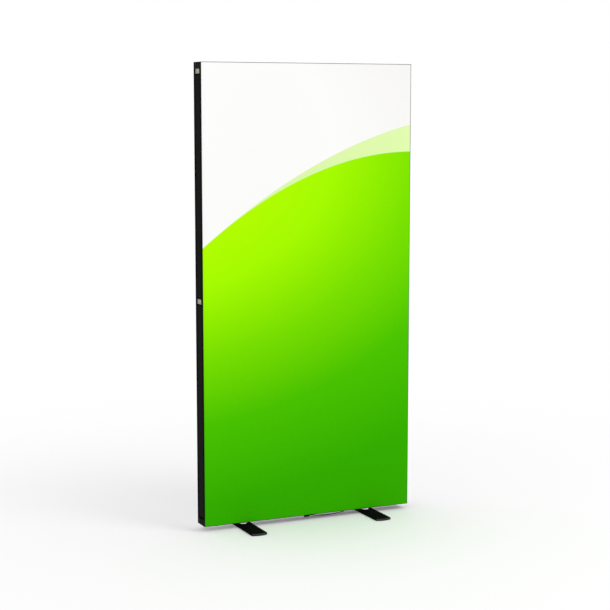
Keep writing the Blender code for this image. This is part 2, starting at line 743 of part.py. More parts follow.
def light_bar(side_name, half_name, z0, z1, with_socket):
    """A carrier with a row of lenses that face across the wall. A lower bar has a socket for its wire."""
    side = SIDES[side_name]
    base = SECTION_THICKNESS + FIT
    face = base + LIGHT_BAR_THICKNESS
    half = BODY - LIGHT_BAR_MARGIN
    name = f"light_bar_{side_name}_{half_name}"
    piece = box(name, on_upright(side, base, -half, z0), on_upright(side, face, half, z1), WHITE_METAL)
    span = z1 - z0
    count = int((span - LENS_PITCH / 2) / LENS_PITCH)
    profile = [(LENS_BASE_RADIUS, face - SINK), (LENS_TIP_RADIUS, face + LENS_HEIGHT)]
    shapes = []
    for index in range(count):
        z = (z0 + z1) / 2 + (index - (count - 1) / 2) * LENS_PITCH
        centre = on_upright(side, 0, 0, z)
        shapes.append(turned_rings(profile, centre, (-side, 0, 0), LENS_STEPS))
    lenses = mesh_from(f"{name}_lenses", shapes, piece.location)
    join(piece, place(f"{name}_lenses", lenses, WHITE_METAL, piece.location))
    if with_socket:
        low = on_upright(side, face - SINK, WIRE_OFFSET - SOCKET_DEPTH / 2, z0)
        high = on_upright(side, face + SOCKET_REACH, WIRE_OFFSET + SOCKET_DEPTH / 2, z0 + SOCKET_HEIGHT)
        join(piece, box(f"{name}_socket", low, high, WHITE_METAL))
    return piece


def power_inlet():
    """The inlet block in the bottom rail, with its spout through the rail's web."""
    web_top = FRAME_BOTTOM + WEB_BACK
    half_depth = CHANNEL - INLET_MARGIN
    low = (INLET_X - INLET_LENGTH / 2, -half_depth, web_top + FIT)
    high = (INLET_X + INLET_LENGTH / 2, half_depth, web_top + FIT + INLET_HEIGHT)
    piece = box("power_inlet", low, high, BLACK_PLASTIC)
    tip = FRAME_BOTTOM + RECESS - SPOUT_DROP
    profile = [
        (SPOUT_TIP_RADIUS, tip),
        (SPOUT_RADIUS, FRAME_BOTTOM + RECESS),
        (SPOUT_RADIUS, web_top + FIT + SINK),
    ]
    join(piece, turned("power_inlet_spout", profile, (INLET_X, INLET_Y, 0), (0, 0, 1), BLACK_PLASTIC))
    return piece


def inner_wire(side_name):
    """A wire from the inlet along the bottom rail, out of the rail's mouth and up to the lower light bar."""
    side = SIDES[side_name]
    y = WIRE_OFFSET
    start = INLET_X + side * (INLET_LENGTH / 2 + FIT)
    low = FRAME_BOTTOM + WEB_BACK + WIRE_RISE
    above = FRAME_BOTTOM + SECTION_THICKNESS + WIRE_DIAMETER / 2 + FIT + WIRE_FLOAT
    climb_end = side * (HALF_WIDTH - PLATE_OUTER - ANGLE_RAIL_LEG - WIRE_BESIDE_ANGLE)
    climb_start = climb_end - side * WIRE_CLIMB
    socket_x = side * (HALF_WIDTH - SECTION_THICKNESS - FIT - LIGHT_BAR_THICKNESS - SOCKET_REACH / 2)
    socket_z = UPRIGHT_BOTTOM - FIT + LIGHT_BAR_END_GAP - FIT
    bend = 3 * WIRE_DIAMETER
    turn_x = socket_x - side * WIRE_DIAMETER * WIRE_TURN_SHARE
    slope = [low + (above - low) * share for share in WIRE_SLOPE_SHARES]
    rise = [above + (socket_z - above) * share for share in WIRE_RISE_SHARES]
    route = [
        (start, y, low),
        (climb_start - 2 * side * bend, y, low),
        (climb_start - side * bend, y, low),
        (climb_start, y, slope[0]),
        ((climb_start + climb_end) / 2, y, slope[1]),
        (climb_end, y, slope[2]),
        (climb_end + side * bend, y, above),
        (socket_x - side * bend, y, above),
        (turn_x, y, rise[0]),
        (socket_x, y, rise[1]),
        (socket_x, y, rise[2]),
        (socket_x, y, socket_z),
    ]
    points, _ = smooth_route(route, 2 * WIRE_DIAMETER)
    return tube(f"inner_wire_{side_name}", points, WIRE_DIAMETER, WIRE_SHEATH)


def power_lead():
    """The short lead from the spout to the floor. It ends in an in-line connector."""
    points, length = smooth_route(LEAD_ROUTE, 2 * LEAD_DIAMETER)
    print(f"power_lead: {length:.4f} m in {len(points)} points")
    return tube("power_lead", points, LEAD_DIAMETER, WIRE_SHEATH)


def lead_connector():
    """An in-line socket with a moulded relief towards the lead and a pin in its bore."""
    centre = (LEAD_END_X - FIT, LEAD_END_Y, CONNECTOR_RADIUS)
    end = CONNECTOR_RELIEF_LENGTH + CONNECTOR_LENGTH
    bore_floor = end - CONNECTOR_BORE_DEPTH
    profile = [
        (CONNECTOR_RELIEF_RADIUS, 0),
        (CONNECTOR_RELIEF_RADIUS, CONNECTOR_RELIEF_LENGTH),
        (CONNECTOR_RADIUS - CONNECTOR_CHAMFER, CONNECTOR_RELIEF_LENGTH),
        (CONNECTOR_RADIUS, CONNECTOR_RELIEF_LENGTH + CONNECTOR_CHAMFER),
        (CONNECTOR_RADIUS, end - CONNECTOR_CHAMFER),
        (CONNECTOR_RADIUS - CONNECTOR_CHAMFER, end),
        (CONNECTOR_BORE_RADIUS, end),
        (CONNECTOR_BORE_RADIUS, bore_floor),
        (CONNECTOR_PIN_RADIUS, bore_floor),
        (CONNECTOR_PIN_RADIUS, end - CONNECTOR_PIN_INSET),
    ]
    return turned("lead_connector", profile, centre, (-1, 0, 0), BLACK_PLASTIC, steps=24)


# Feet


def foot_plate(side_name):
    """A flat steel foot with bowed ends, which turns about its bolt."""
    x = SIDES[side_name] * FOOT_X
    half = FOOT_WIDTH / 2
    shoulder = FOOT_LENGTH / 2 - FOOT_BOW
    arc_steps = 10
    front = []
    for step in range(arc_steps + 1):
        share = 2 * step / arc_steps - 1
        front.append((share * half, -shoulder - FOOT_BOW * (1 - share**2)))
    outline = front + [(-px, -py) for px, py in front]
    rings = [[(x + px, py, z) for px, py in outline] for z in (0, FOOT_THICKNESS)]
    piece = loft(f"foot_plate_{side_name}", rings, BLACK_STEEL, origin=Vector((x, 0, 0)))
    round_edges(piece, FOOT_CORNER)
    seat = BOLT_HEAD_RADIUS + BOLT_HEAD_CLEARANCE
    seat_top = BOLT_HEAD_INSET + BOLT_HEAD_HEIGHT + FIT
    hole = BOLT_RADIUS + FIT
    profile = [
        (seat, -OVERRUN),
        (seat, seat_top),
        (hole, seat_top),
        (hole, FOOT_THICKNESS + OVERRUN),
    ]
    cut(piece, turned(f"foot_hole_{side_name}", profile, (x, 0, 0), (0, 0, 1), BLACK_STEEL))
    return piece


def foot_fixings(side_name, bottom_rail):
    """The hub, the bolt and the slot nut that hold a foot under the bottom rail."""
    x = SIDES[side_name] * FOOT_X
    axis = (0, 0, 1)
    hole = BOLT_RADIUS + FIT
    web_low = FRAME_BOTTOM + RECESS
    web_high = FRAME_BOTTOM + WEB_BACK
    bottom = FOOT_THICKNESS + FIT
    top = web_low - FIT
    base_top = bottom + HUB_BASE_HEIGHT
    hub_profile = [
        (hole, bottom),
        (HUB_RADIUS - HUB_CHAMFER, bottom),
        (HUB_RADIUS, bottom + HUB_CHAMFER),
        (HUB_NECK_RADIUS, base_top),
        (HUB_NECK_RADIUS, top),
        (hole, top),
    ]
    turned(f"foot_hub_{side_name}", hub_profile, (x, 0, 0), axis, PLAIN_STEEL, bored=True)

    hole_profile = [(hole, web_low - OVERRUN), (hole, web_high + OVERRUN)]
    cut(bottom_rail, turned(f"rail_hole_{side_name}", hole_profile, (x, 0, 0), axis, BLACK_ALUMINIUM))

    nut_low = (x - NUT_LENGTH / 2, -NUT_WIDTH / 2, web_high + FIT)
    nut_high = (x + NUT_LENGTH / 2, NUT_WIDTH / 2, web_high + FIT + NUT_HEIGHT)
    nut = box(f"foot_nut_{side_name}", nut_low, nut_high, PLAIN_STEEL)
    nut_profile = [(hole, web_high - OVERRUN), (hole, nut_high[2] + OVERRUN)]
    cut(nut, turned(f"nut_hole_{side_name}", nut_profile, (x, 0, 0), axis, PLAIN_STEEL))

    head_top = BOLT_HEAD_INSET + BOLT_HEAD_HEIGHT
    bolt_profile = [
        (BOLT_HEAD_RADIUS, BOLT_HEAD_INSET),
        (BOLT_HEAD_RADIUS, head_top),
        (BOLT_RADIUS, head_top),
        (BOLT_RADIUS, nut_high[2] + BOLT_SPARE),
    ]
    bolt = turned(f"foot_bolt_{side_name}", bolt_profile, (x, 0, 0), axis, PLAIN_STEEL)
    key_profile = [(HEX_KEY, -OVERRUN), (HEX_KEY, BOLT_HEAD_INSET + HEX_DEPTH)]
    cut(bolt, turned(f"bolt_key_{side_name}", key_profile, (x, 0, 0), axis, PLAIN_STEEL, steps=6))


# Assembly

bottom_rail_piece = rail("bottom")
rail("top")
spout_hole = SPOUT_RADIUS + FIT
spout_profile = [
    (spout_hole, FRAME_BOTTOM + RECESS - OVERRUN),
    (spout_hole, FRAME_BOTTOM + WEB_BACK + OVERRUN),
]
spout_place = (INLET_X, INLET_Y, 0)
cut(bottom_rail_piece, turned("rail_hole_inlet", spout_profile, spout_place, (0, 0, 1), BLACK_ALUMINIUM))

for level_name in LEVELS:
    for side_name in SIDES:
        end_cap(level_name, side_name)

joint_low = FRAME_MIDDLE - FIT / 2
joint_high = FRAME_MIDDLE + FIT / 2
middle_latch_top = joint_low - MIDDLE_LATCH_DROP
for side_name in SIDES:
    lower = upright(side_name, "lower", UPRIGHT_BOTTOM, joint_low)
    upper = upright(side_name, "upper", joint_high, UPRIGHT_TOP)
    button_y, middle_z = latch(side_name, "middle", lower, middle_latch_top, open_top=False)
    _, top_z = latch(side_name, "top", upper, UPRIGHT_TOP, open_top=True)
    middle_splice(side_name, button_y, middle_z)
    for level_name in LEVELS:
        corner_angle(level_name, side_name, button_y, UPRIGHT_TOP - top_z)
    strip_start = UPRIGHT_BOTTOM + STRIP_GAP_AT_RAIL
    strip_middle = middle_latch_top - LATCH_HEIGHT - STRIP_GAP_AT_LATCH
    strip_end = UPRIGHT_TOP - LATCH_HEIGHT - STRIP_GAP_AT_RAIL
    cover_strip(side_name, "lower", strip_start, strip_middle)
    cover_strip(side_name, "upper", joint_high, strip_end)
    bar_start = FRAME_BOTTOM + SECTION_THICKNESS + LIGHT_BAR_END_GAP
    bar_middle = CROSSBAR_FOOT_HEIGHT / 2 + LIGHT_BAR_END_GAP
    bar_end = FRAME_TOP - SECTION_THICKNESS - LIGHT_BAR_END_GAP
    light_bar(side_name, "lower", bar_start, FRAME_MIDDLE - bar_middle, with_socket=True)
    light_bar(side_name, "upper", FRAME_MIDDLE + bar_middle, bar_end, with_socket=False)
    inner_wire(side_name)
    foot_plate(side_name)
    foot_fixings(side_name, bottom_rail_piece)

crossbar()
power_inlet()
power_lead()
lead_connector()
fabric("front_graphic", -1, PRINTED_FABRIC)
fabric("back_liner", 1, WHITE_FABRIC)
edge_strips("front", -1)
edge_strips("back", 1)

pieces = [o for o in bpy.data.objects if o.type in ("MESH", "CURVE") and not o.hide_render]
print(f"{len(pieces)} pieces")
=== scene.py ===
# %% [markdown]
# A lit cloth wall, dressed round its solid model.
#
# The real thing is a flat black aluminium frame, as tall as a door, with a printed cloth stretched over its
# front and a plain white one over its back. Bars of lights inside the uprights shine across the hollow, so
# both cloths glow. Two flat steel feet hold it up, and a short lead comes out underneath.
#
# The frame, its latches and its feet are already exact solids, and this lesson loads them. What it adds is
# what solids are poor at: cloth, a soft lead, coiled and turned metal, and every finish.

# %% Load the solid model
import math

import bmesh
import bpy
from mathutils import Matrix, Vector


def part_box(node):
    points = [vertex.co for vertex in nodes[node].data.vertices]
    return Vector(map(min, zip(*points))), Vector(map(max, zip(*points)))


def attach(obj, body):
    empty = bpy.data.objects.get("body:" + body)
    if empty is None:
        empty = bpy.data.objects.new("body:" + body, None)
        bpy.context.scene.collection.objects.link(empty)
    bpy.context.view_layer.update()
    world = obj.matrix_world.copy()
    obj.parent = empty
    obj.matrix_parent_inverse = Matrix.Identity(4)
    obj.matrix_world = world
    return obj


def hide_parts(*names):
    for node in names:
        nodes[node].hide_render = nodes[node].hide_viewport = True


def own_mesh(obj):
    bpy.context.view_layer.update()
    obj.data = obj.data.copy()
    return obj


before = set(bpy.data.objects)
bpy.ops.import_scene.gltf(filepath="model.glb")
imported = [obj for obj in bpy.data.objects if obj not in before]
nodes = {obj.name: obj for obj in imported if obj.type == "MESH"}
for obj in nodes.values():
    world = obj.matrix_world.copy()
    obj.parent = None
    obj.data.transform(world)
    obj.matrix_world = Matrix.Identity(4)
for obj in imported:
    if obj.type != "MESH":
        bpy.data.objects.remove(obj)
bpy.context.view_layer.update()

# %% [markdown]
# The camera comes first, because everything is judged through it.
#
# A camera can be guessed and nudged until the picture looks right, or worked out from points whose real
# places are known. The second way was used here: the corners of a 1 m by 2 m rectangle in the picture fix
# the distance, the height and the lens. The lens is long, which is why the uprights look almost parallel.
# Its own middle lies a little below the picture's, as when a picture is cropped, and a small lens shift
# gives that.

# %% Camera
PICTURE_PIXELS = 610
FOCAL_PIXELS = 1579.3
SENSOR_WIDTH = 36.0  # millimetres, as Blender gives it
CAMERA_PLACE = (-2.9117, -6.2966, 1.8323)
CAMERA_TILT = math.radians(82.176)
CAMERA_TURN = math.radians(-24.816)
LENS_RISE_PIXELS = 19.82  # how far the picture's middle lies above the lens's own

camera_data = bpy.data.cameras.new("camera")
camera_data.sensor_width = SENSOR_WIDTH
camera_data.lens = FOCAL_PIXELS * SENSOR_WIDTH / PICTURE_PIXELS
camera_data.shift_y = LENS_RISE_PIXELS / PICTURE_PIXELS
camera = bpy.data.objects.new("camera", camera_data)
camera.location = CAMERA_PLACE
camera.rotation_euler = (CAMERA_TILT, 0, CAMERA_TURN)
bpy.context.scene.collection.objects.link(camera)
bpy.context.scene.camera = camera
print(f"lens {camera_data.lens:.1f} mm")


# %% [markdown]
# A few small helpers carry the whole lesson.
#
# Every new piece has to be in the scene and move with the right body, so one function does both. Turned
# pieces, such as hubs and plugs, are a profile spun about an axis.
# Blender's Screw modifier could spin them, but rings made in code also let the end of a profile take a
# second material.

# %% Helpers for pieces
ROUND_STEPS = 72
SHARP_ANGLE = math.radians(35)


def add_piece(name, data, body, origin=(0, 0, 0)):
    """Puts a mesh or curve in the scene as a piece that moves with a body."""
    piece = bpy.data.objects.new(name, data)
    piece.location = origin
    bpy.context.scene.collection.objects.link(piece)
    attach(piece, body)
    return piece


def mesh_from(name, bm, smooth=True):
    """Turns a bmesh into a mesh whose faces point out, smooth but for its sharp edges."""
    bmesh.ops.recalc_face_normals(bm, faces=bm.faces)
    if bm.calc_volume(signed=True) < 0:  # the step above can guess wrong on a thin slab
        bmesh.ops.reverse_faces(bm, faces=bm.faces)
    mesh = bpy.data.meshes.new(name)
    bm.to_mesh(mesh)
    bm.free()
    if smooth:
        mesh.shade_smooth()
        mesh.set_sharp_from_angle(angle=SHARP_ANGLE)
    return mesh


def turned_mesh(name, profile, axis, bored=False, second_from=None):
    """Spins (radius, distance along the axis) points. Bands from second_from on take the second material."""
    turn = Vector((0, 0, 1)).rotation_difference(Vector(axis)).to_matrix()
    bm = bmesh.new()
    rings = []
    for radius, along in profile:
        ring = []
        for step in range(ROUND_STEPS):
            angle = math.tau * step / ROUND_STEPS
            spot = turn @ Vector((radius * math.cos(angle), radius * math.sin(angle), along))
            ring.append(bm.verts.new(spot))
        rings.append(ring)
    pairs = list(zip(rings, rings[1:] + (rings[:1] if bored else [])))
    for band, (first, second) in enumerate(pairs[: None if bored else len(rings) - 1]):
        for a, b, c, d in zip(first, first[1:] + first[:1], second[1:] + second[:1], second):
            face = bm.faces.new((a, b, c, d))
            face.material_index = int(second_from is not None and band >= second_from)
    if not bored:
        bm.faces.new(rings[0])
        last = bm.faces.new(rings[-1])
        last.material_index = int(second_from is not None)
    return mesh_from(name, bm)


def corner_arc(radius_at, along_at, size, start, steps=4):
    """A quarter circle of a profile round a centre, from a start angle in quarter turns."""
    arc = []
    for step in range(steps + 1):
        angle = (start + step / steps) * math.pi / 2
        arc.append((radius_at + size * math.cos(angle), along_at + size * math.sin(angle)))
    return arc


# %% [markdown]
# The lead is a low-voltage one, thin and soft, and it ends in an in-line socket for a plug-in power supply.
#
# It drops out of a spout under the bottom rail, bends over and runs along the floor under the frame. A lead
# could be simulated, but it is short and already at rest, so a smooth curve through a few chosen points
# does as well. The points are those of the solid model, so the lead lies exactly where it did there.

# %% The lead
LEAD_DIAMETER = 0.0036
LEAD_ROUTE = [
    (0.1980, -0.0060, 0.0283),
    (0.1980, -0.0060, 0.0252),
    (0.1969, -0.0059, 0.0197),
    (0.1936, -0.0056, 0.0149),
    (0.1886, -0.0051, 0.0119),
    (0.1820, -0.0043, 0.0102),
    (0.1700, -0.0026, 0.0084),
    (0.1560, -0.0004, 0.0063),
    (0.1400, 0.0023, 0.0043),
    (0.1230, 0.0052, 0.0028),
    (0.1050, 0.0083, 0.0021),
    (0.0880, 0.0112, 0.0020),
    (0.0730, 0.0137, 0.0022),
    (0.0600, 0.0159, 0.0030),
    (0.0490, 0.0176, 0.0043),
    (0.0410, 0.0186, 0.0051),
    (0.0350, 0.0190, 0.0052),
]
LEAD_STEPS = 8  # between two points of the route
LEAD_ROUNDNESS = 5

lead_curve = bpy.data.curves.new("lead", "CURVE")
lead_curve.dimensions = "3D"
lead_curve.bevel_depth = 1.0  # a whole metre, which each point's own radius scales down
lead_curve.bevel_resolution = LEAD_ROUNDNESS
lead_curve.resolution_u = LEAD_STEPS
lead_curve.use_fill_caps = True
lead_line = lead_curve.splines.new("BEZIER")
lead_line.bezier_points.add(len(LEAD_ROUTE) - 1)
for knot, point in zip(lead_line.bezier_points, LEAD_ROUTE):
    knot.co = point
    knot.radius = LEAD_DIAMETER / 2
    knot.handle_left_type = "AUTO"
    knot.handle_right_type = "AUTO"
lead = add_piece("lead", lead_curve, "frame")
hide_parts("power_lead")
print(f"lead through {len(lead_line.bezier_points)} points")

# %% [markdown]
# The socket on the lead's end is moulded in one shot with its strain relief.
#
# A real relief is a soft neck with rings cut into it, so that it bends more easily towards its tip. The
# body has a band of shallow grooves for the fingers, an open bore and a metal pin in the bore. All of that
# is round, so it is one profile, which starts at the lead and runs out along the body and back into the
# bore.

# %% The socket on the lead
LEAD_CLEARANCE = 0.0003
RELIEF_LENGTH = 0.008
RELIEF_RADIUS = 0.0029
RELIEF_TAPER = 0.14  # of its radius
RELIEF_RINGS = 4
RELIEF_GROOVE = 0.0005
RING_BEVEL = 0.0002
RING_SHARES = (0.55, 0.65, 0.95)  # of the pitch: the ring's end, its groove's floor and the next ring
SOCKET_EDGE = 0.0007
GRIP_START = 0.006  # from the body's back
GRIP_GROOVES = 5
GRIP_PITCH = 0.0020
GRIP_DEPTHS = ((0, 0), (0.0003, 0.0004), (0.0003, 0.0009), (0, 0.0013))  # inwards, and along
BORE_RADIUS = 0.0032
BORE_BEVEL = (0.0003, 0.0004)
BORE_DEPTH = 0.0095
PIN_RADIUS = 0.0010
PIN_INSET = 0.0015
PIN_ROUND = 0.0006

socket_low, socket_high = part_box("lead_connector")
socket_middle = (socket_low + socket_high) / 2
socket_length = socket_high.x - socket_low.x
socket_radius = (socket_high.y - socket_low.y) / 2
ring_pitch = RELIEF_LENGTH / RELIEF_RINGS

socket_profile = [(LEAD_DIAMETER / 2 + LEAD_CLEARANCE, 0)]
for ring in range(RELIEF_RINGS):
    start = ring * ring_pitch
    swell = RELIEF_RADIUS * (1 - RELIEF_TAPER + RELIEF_TAPER * (ring + 1) / RELIEF_RINGS)
    ring_end, floor_start, floor_end = [start + ring_pitch * share for share in RING_SHARES]
    socket_profile += [
        (swell - RING_BEVEL, start + RING_BEVEL / 2),
        (swell, start + RING_BEVEL * 1.5),
        (swell, ring_end),
        (swell - RELIEF_GROOVE, floor_start),
        (swell - RELIEF_GROOVE, floor_end),
    ]
socket_profile.append((RELIEF_RADIUS, RELIEF_LENGTH))
socket_profile += corner_arc(socket_radius - SOCKET_EDGE, RELIEF_LENGTH + SOCKET_EDGE, SOCKET_EDGE, -1)
for groove in range(GRIP_GROOVES):
    start = RELIEF_LENGTH + GRIP_START + groove * GRIP_PITCH
    socket_profile += [(socket_radius - inwards, start + along) for inwards, along in GRIP_DEPTHS]
socket_profile += corner_arc(socket_radius - SOCKET_EDGE, socket_length - SOCKET_EDGE, SOCKET_EDGE, 0)
socket_profile += [
    (BORE_RADIUS + BORE_BEVEL[0], socket_length),
    (BORE_RADIUS, socket_length - BORE_BEVEL[1]),
    (BORE_RADIUS, socket_length - BORE_DEPTH),
    (PIN_RADIUS, socket_length - BORE_DEPTH),
]
pin_band = len(socket_profile) - 1
pin_tip = socket_length - PIN_INSET
socket_profile += corner_arc(PIN_RADIUS - PIN_ROUND, pin_tip - PIN_ROUND, PIN_ROUND, 0)

socket_mesh = turned_mesh("lead_socket", socket_profile, (-1, 0, 0), second_from=pin_band)
socket_start = (socket_high.x, socket_middle.y, socket_middle.z)
lead_socket = add_piece("lead_socket", socket_mesh, "frame", socket_start)
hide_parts("lead_connector")
print(f"socket {socket_length * 1000:.1f} mm long, {len(socket_mesh.polygons)} faces")

# %% [markdown]
# The front is a polyester knit, printed and then cut to the frame's size. A silicone strip is sewn round
# its edge and pushed into a groove, which pulls the cloth drum tight.
#
# Pinned cloth could be simulated, but a cloth as tight as this has no folds to find. What shows is its
# edge. It rolls over the strip just inside the frame's thin lip, and a faint hollow runs along the inner
# side of the strip, where the seam pulls the cloth down. So each sheet is a closed slab of cloth, with rows
# of points close together near its edge, that gives both.

# %% Stretched sheets
EDGE_STEPS = (0.0, 0.00003, 0.0001, 0.00023, 0.0004, 0.0006, 0.0024, 0.0029, 0.0033, 0.0037, 0.0042)
HOLLOW_PLACE = 0.0033  # from the cloth's edge
HOLLOW_HALF = 0.0009
HOLLOW_DEPTH = 0.00022
SHEET_SPACING = 0.025
MERGE_SHARE = 0.001  # of the cloth's thickness


def sheet_lines(low, high):
    """Places of a sheet's rows or columns: close together near each end, and even between them."""
    near = [low + step for step in EDGE_STEPS]
    far = [high - step for step in reversed(EDGE_STEPS)]
    count = round((far[0] - near[-1]) / SHEET_SPACING)
    between = [near[-1] + (far[0] - near[-1]) * step / count for step in range(1, count)]
    return near + between + far


def sheet_depth(inset, roll):
    """How far the cloth's face lies behind its highest plane, so far in from the nearest edge."""
    rolled = roll - math.sqrt(roll**2 - (roll - min(inset, roll)) ** 2)
    off_centre = min(abs(inset - HOLLOW_PLACE) / HOLLOW_HALF, 1.0)
    return rolled + HOLLOW_DEPTH * (0.5 + 0.5 * math.cos(math.pi * off_centre))


def sheet_mesh(name, low, high, face):
    """A slab of cloth between two corners, rolled at its edges. The face is -1 in front and 1 behind."""
    roll = high.y - low.y
    outer_y = low.y if face < 0 else high.y
    columns = sheet_lines(low.x, high.x)
    rows = sheet_lines(low.z, high.z)
    bm = bmesh.new()
    grids = []
    for outer in (True, False):
        grid = []
        for z in rows:
            line = []
            for x in columns:
                inset = max(min(x - low.x, high.x - x, z - low.z, high.z - z), 0)
                depth = sheet_depth(inset, roll) if outer else roll
                line.append(bm.verts.new((x, outer_y - face * depth, z)))
            grid.append(line)
        grids.append(grid)
        for first, second in zip(grid, grid[1:]):
            for a, b, c, d in zip(first, first[1:], second[1:], second):
                bm.faces.new((a, b, c, d))
    bmesh.ops.remove_doubles(bm, verts=bm.verts, dist=roll * MERGE_SHARE)
    return mesh_from(name, bm)


def stretched_sheet(name, node, face):
    """Replaces a fabric solid with a rolled sheet, and says what size it was cut to."""
    low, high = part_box(node)
    piece = add_piece(name, sheet_mesh(name, low, high, face), "frame")
    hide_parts(node)
    print(f"{name}: {high.x - low.x:.3f} by {high.z - low.z:.3f} m, {len(piece.data.polygons)} faces")
    return piece


front_cloth = stretched_sheet("front_cloth", "front_graphic", -1)
back_cloth = stretched_sheet("back_cloth", "back_liner", 1)

# %% [markdown]
# The hubs between the feet and the frame are turned from bright bar. In the picture each is no more than a
# thin silver crescent, but it is what tells the eye that the foot and the frame are separate things.
#
# A hub widens downwards to a foot as wide as a large coin, so its side leans back and mirrors the pale room
# and not the black plate. The solid hubs have flats that show when they catch the light. Here each one is
# spun again at 72 steps, with a rounded foot, a fine groove round the cone and an undercut where the neck
# starts. The bolt clamps the hub to the frame, so it stays there, and only the plate below it turns.

# %% Turned hubs
HUB_EDGE = 0.0008
HUB_GROOVE = 0.0004
HUB_GROOVE_SHARE = 0.75  # of the way up the cone
HUB_NECK_RADIUS = 0.0150
HUB_BASE_HEIGHT = 0.0125
HUB_BORE = 0.0043


def hub_profile(radius, height):
    """The hub's half section, from the bore's lower edge round the outside to its upper edge."""
    cone_foot = Vector((radius, HUB_EDGE))
    cone_top = Vector((HUB_NECK_RADIUS, HUB_BASE_HEIGHT))
    groove = cone_foot.lerp(cone_top, HUB_GROOVE_SHARE)
    profile = [(HUB_BORE, 0)]
    profile += corner_arc(radius - HUB_EDGE, HUB_EDGE, HUB_EDGE, -1)
    profile += [
        (groove.x, groove.y - HUB_GROOVE),
        (groove.x - HUB_GROOVE, groove.y),
        (groove.x - HUB_GROOVE / 2, groove.y + HUB_GROOVE),
        (HUB_NECK_RADIUS, HUB_BASE_HEIGHT),
        (HUB_NECK_RADIUS - HUB_GROOVE, HUB_BASE_HEIGHT + HUB_GROOVE),
        (HUB_NECK_RADIUS - HUB_GROOVE, HUB_BASE_HEIGHT + 3 * HUB_GROOVE),
        (HUB_NECK_RADIUS, HUB_BASE_HEIGHT + 4 * HUB_GROOVE),
        (HUB_NECK_RADIUS, height - HUB_GROOVE),
        (HUB_NECK_RADIUS - HUB_GROOVE, height),
        (HUB_BORE, height),
    ]
    return profile


hubs = []
for side in ("left", "right"):
    low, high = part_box(f"foot_hub_{side}")
    profile = hub_profile((high.x - low.x) / 2, high.z - low.z)
    mesh = turned_mesh(f"turned_hub_{side}", profile, (0, 0, 1), bored=True)
    centre = ((low.x + high.x) / 2, (low.y + high.y) / 2, low.z)
    hub = add_piece(f"turned_hub_{side}", mesh, "frame", centre)
    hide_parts(f"foot_hub_{side}")
    hubs.append(hub)
print(f"{len(hubs)} hubs of {len(hubs[0].data.polygons)} faces")

# %% [markdown]
# Each yellow button is pushed back out by a small coil spring on its stem.
#
# A curve with a round bevel would draw the coil, but the spring has to shorten when its button goes in, and
# only a mesh can be squashed. So the wire is swept along the coil by hand: at each step a small ring of
# points stands square to the path.

# %% Springs
SPRING_WIRE = 0.0007
SPRING_TURNS = 4
SPRING_STEPS = 28
WIRE_SIDES = 8


def swept_tube(name, points, radius):
    """A closed round tube along points that are close together."""
    bm = bmesh.new()
    rings = []
    for index, point in enumerate(points):
        before = points[max(index - 1, 0)]
        after = points[min(index + 1, len(points) - 1)]
        ahead = (after - before).normalized()
        side = ahead.cross(Vector((1, 0, 0))).normalized()
        other = ahead.cross(side)
        ring = []
        for step in range(WIRE_SIDES):
            angle = math.tau * step / WIRE_SIDES
            outwards = side * math.cos(angle) + other * math.sin(angle)
            ring.append(bm.verts.new(point + outwards * radius))
        rings.append(ring)
    for first, second in zip(rings, rings[1:]):
        for a, b, c, d in zip(first, first[1:] + first[:1], second[1:] + second[:1], second):
            bm.faces.new((a, b, c, d))
    bm.faces.new(rings[0])
    bm.faces.new(rings[-1])
    return mesh_from(name, bm)


springs = []
for side, outward in (("left", -1), ("right", 1)):
    for place in ("middle", "top"):
        low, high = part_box(f"latch_spring_{side}_{place}")
        middle = (low + high) / 2
        coil_radius = (high.y - low.y) / 2 - SPRING_WIRE / 2
        outer_x = (high.x if outward > 0 else low.x) - outward * SPRING_WIRE / 2
        inner_x = (low.x if outward > 0 else high.x) + outward * SPRING_WIRE / 2
        path = []
        for step in range(SPRING_TURNS * SPRING_STEPS + 1):
            angle = math.tau * step / SPRING_STEPS
            share = step / (SPRING_TURNS * SPRING_STEPS)
            x = outer_x + (inner_x - outer_x) * share
            y = middle.y + coil_radius * math.cos(angle)
            z = middle.z + coil_radius * math.sin(angle)
            path.append(Vector((x, y, z)))
        name = f"return_spring_{side}_{place}"
        spring = add_piece(name, swept_tube(name, path, SPRING_WIRE / 2), "frame")
        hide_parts(f"latch_spring_{side}_{place}")
        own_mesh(spring)
        springs.append(spring)

# %% [markdown]
# Finishes are built from nodes. A real surface is never one flat value: extruded metal has fine lines along
# its length, moulded plastic a grain from its tool, powder coat a soft orange peel.
#
# All of the patterns read the piece's own coordinates, in metres, so a size in a material is a real size,
# and the pattern stays put when a foot turns or a button moves. These helpers keep each finish to a few
# lines.

# %% Helpers for finishes


def start_finish(name, colour, roughness, metallic=0.0, specular=0.5):
    """A Principled material with plain values, as (material, tree, shader) for patterns to be added to."""
    material = bpy.data.materials.new(name)
    material.use_nodes = True
    shader = material.node_tree.nodes["Principled BSDF"]
    shader.inputs["Base Color"].default_value = (*colour, 1)
    shader.inputs["Roughness"].default_value = roughness
    shader.inputs["Metallic"].default_value = metallic
    shader.inputs["Specular IOR Level"].default_value = specular
    return material, material.node_tree, shader


def add_node(tree, kind, inputs=(), **settings):
    """Adds a node. Inputs are (name or number, value or socket) pairs."""
    node = tree.nodes.new(kind)
    for key, value in settings.items():
        setattr(node, key, value)
    for key, value in inputs:
        if isinstance(value, bpy.types.NodeSocket):
            tree.links.new(value, node.inputs[key])
        else:
            node.inputs[key].default_value = value
    return node


def calculate(tree, operation, *values):
    """The result of a Math node."""
    return add_node(tree, "ShaderNodeMath", enumerate(values), operation=operation).outputs[0]


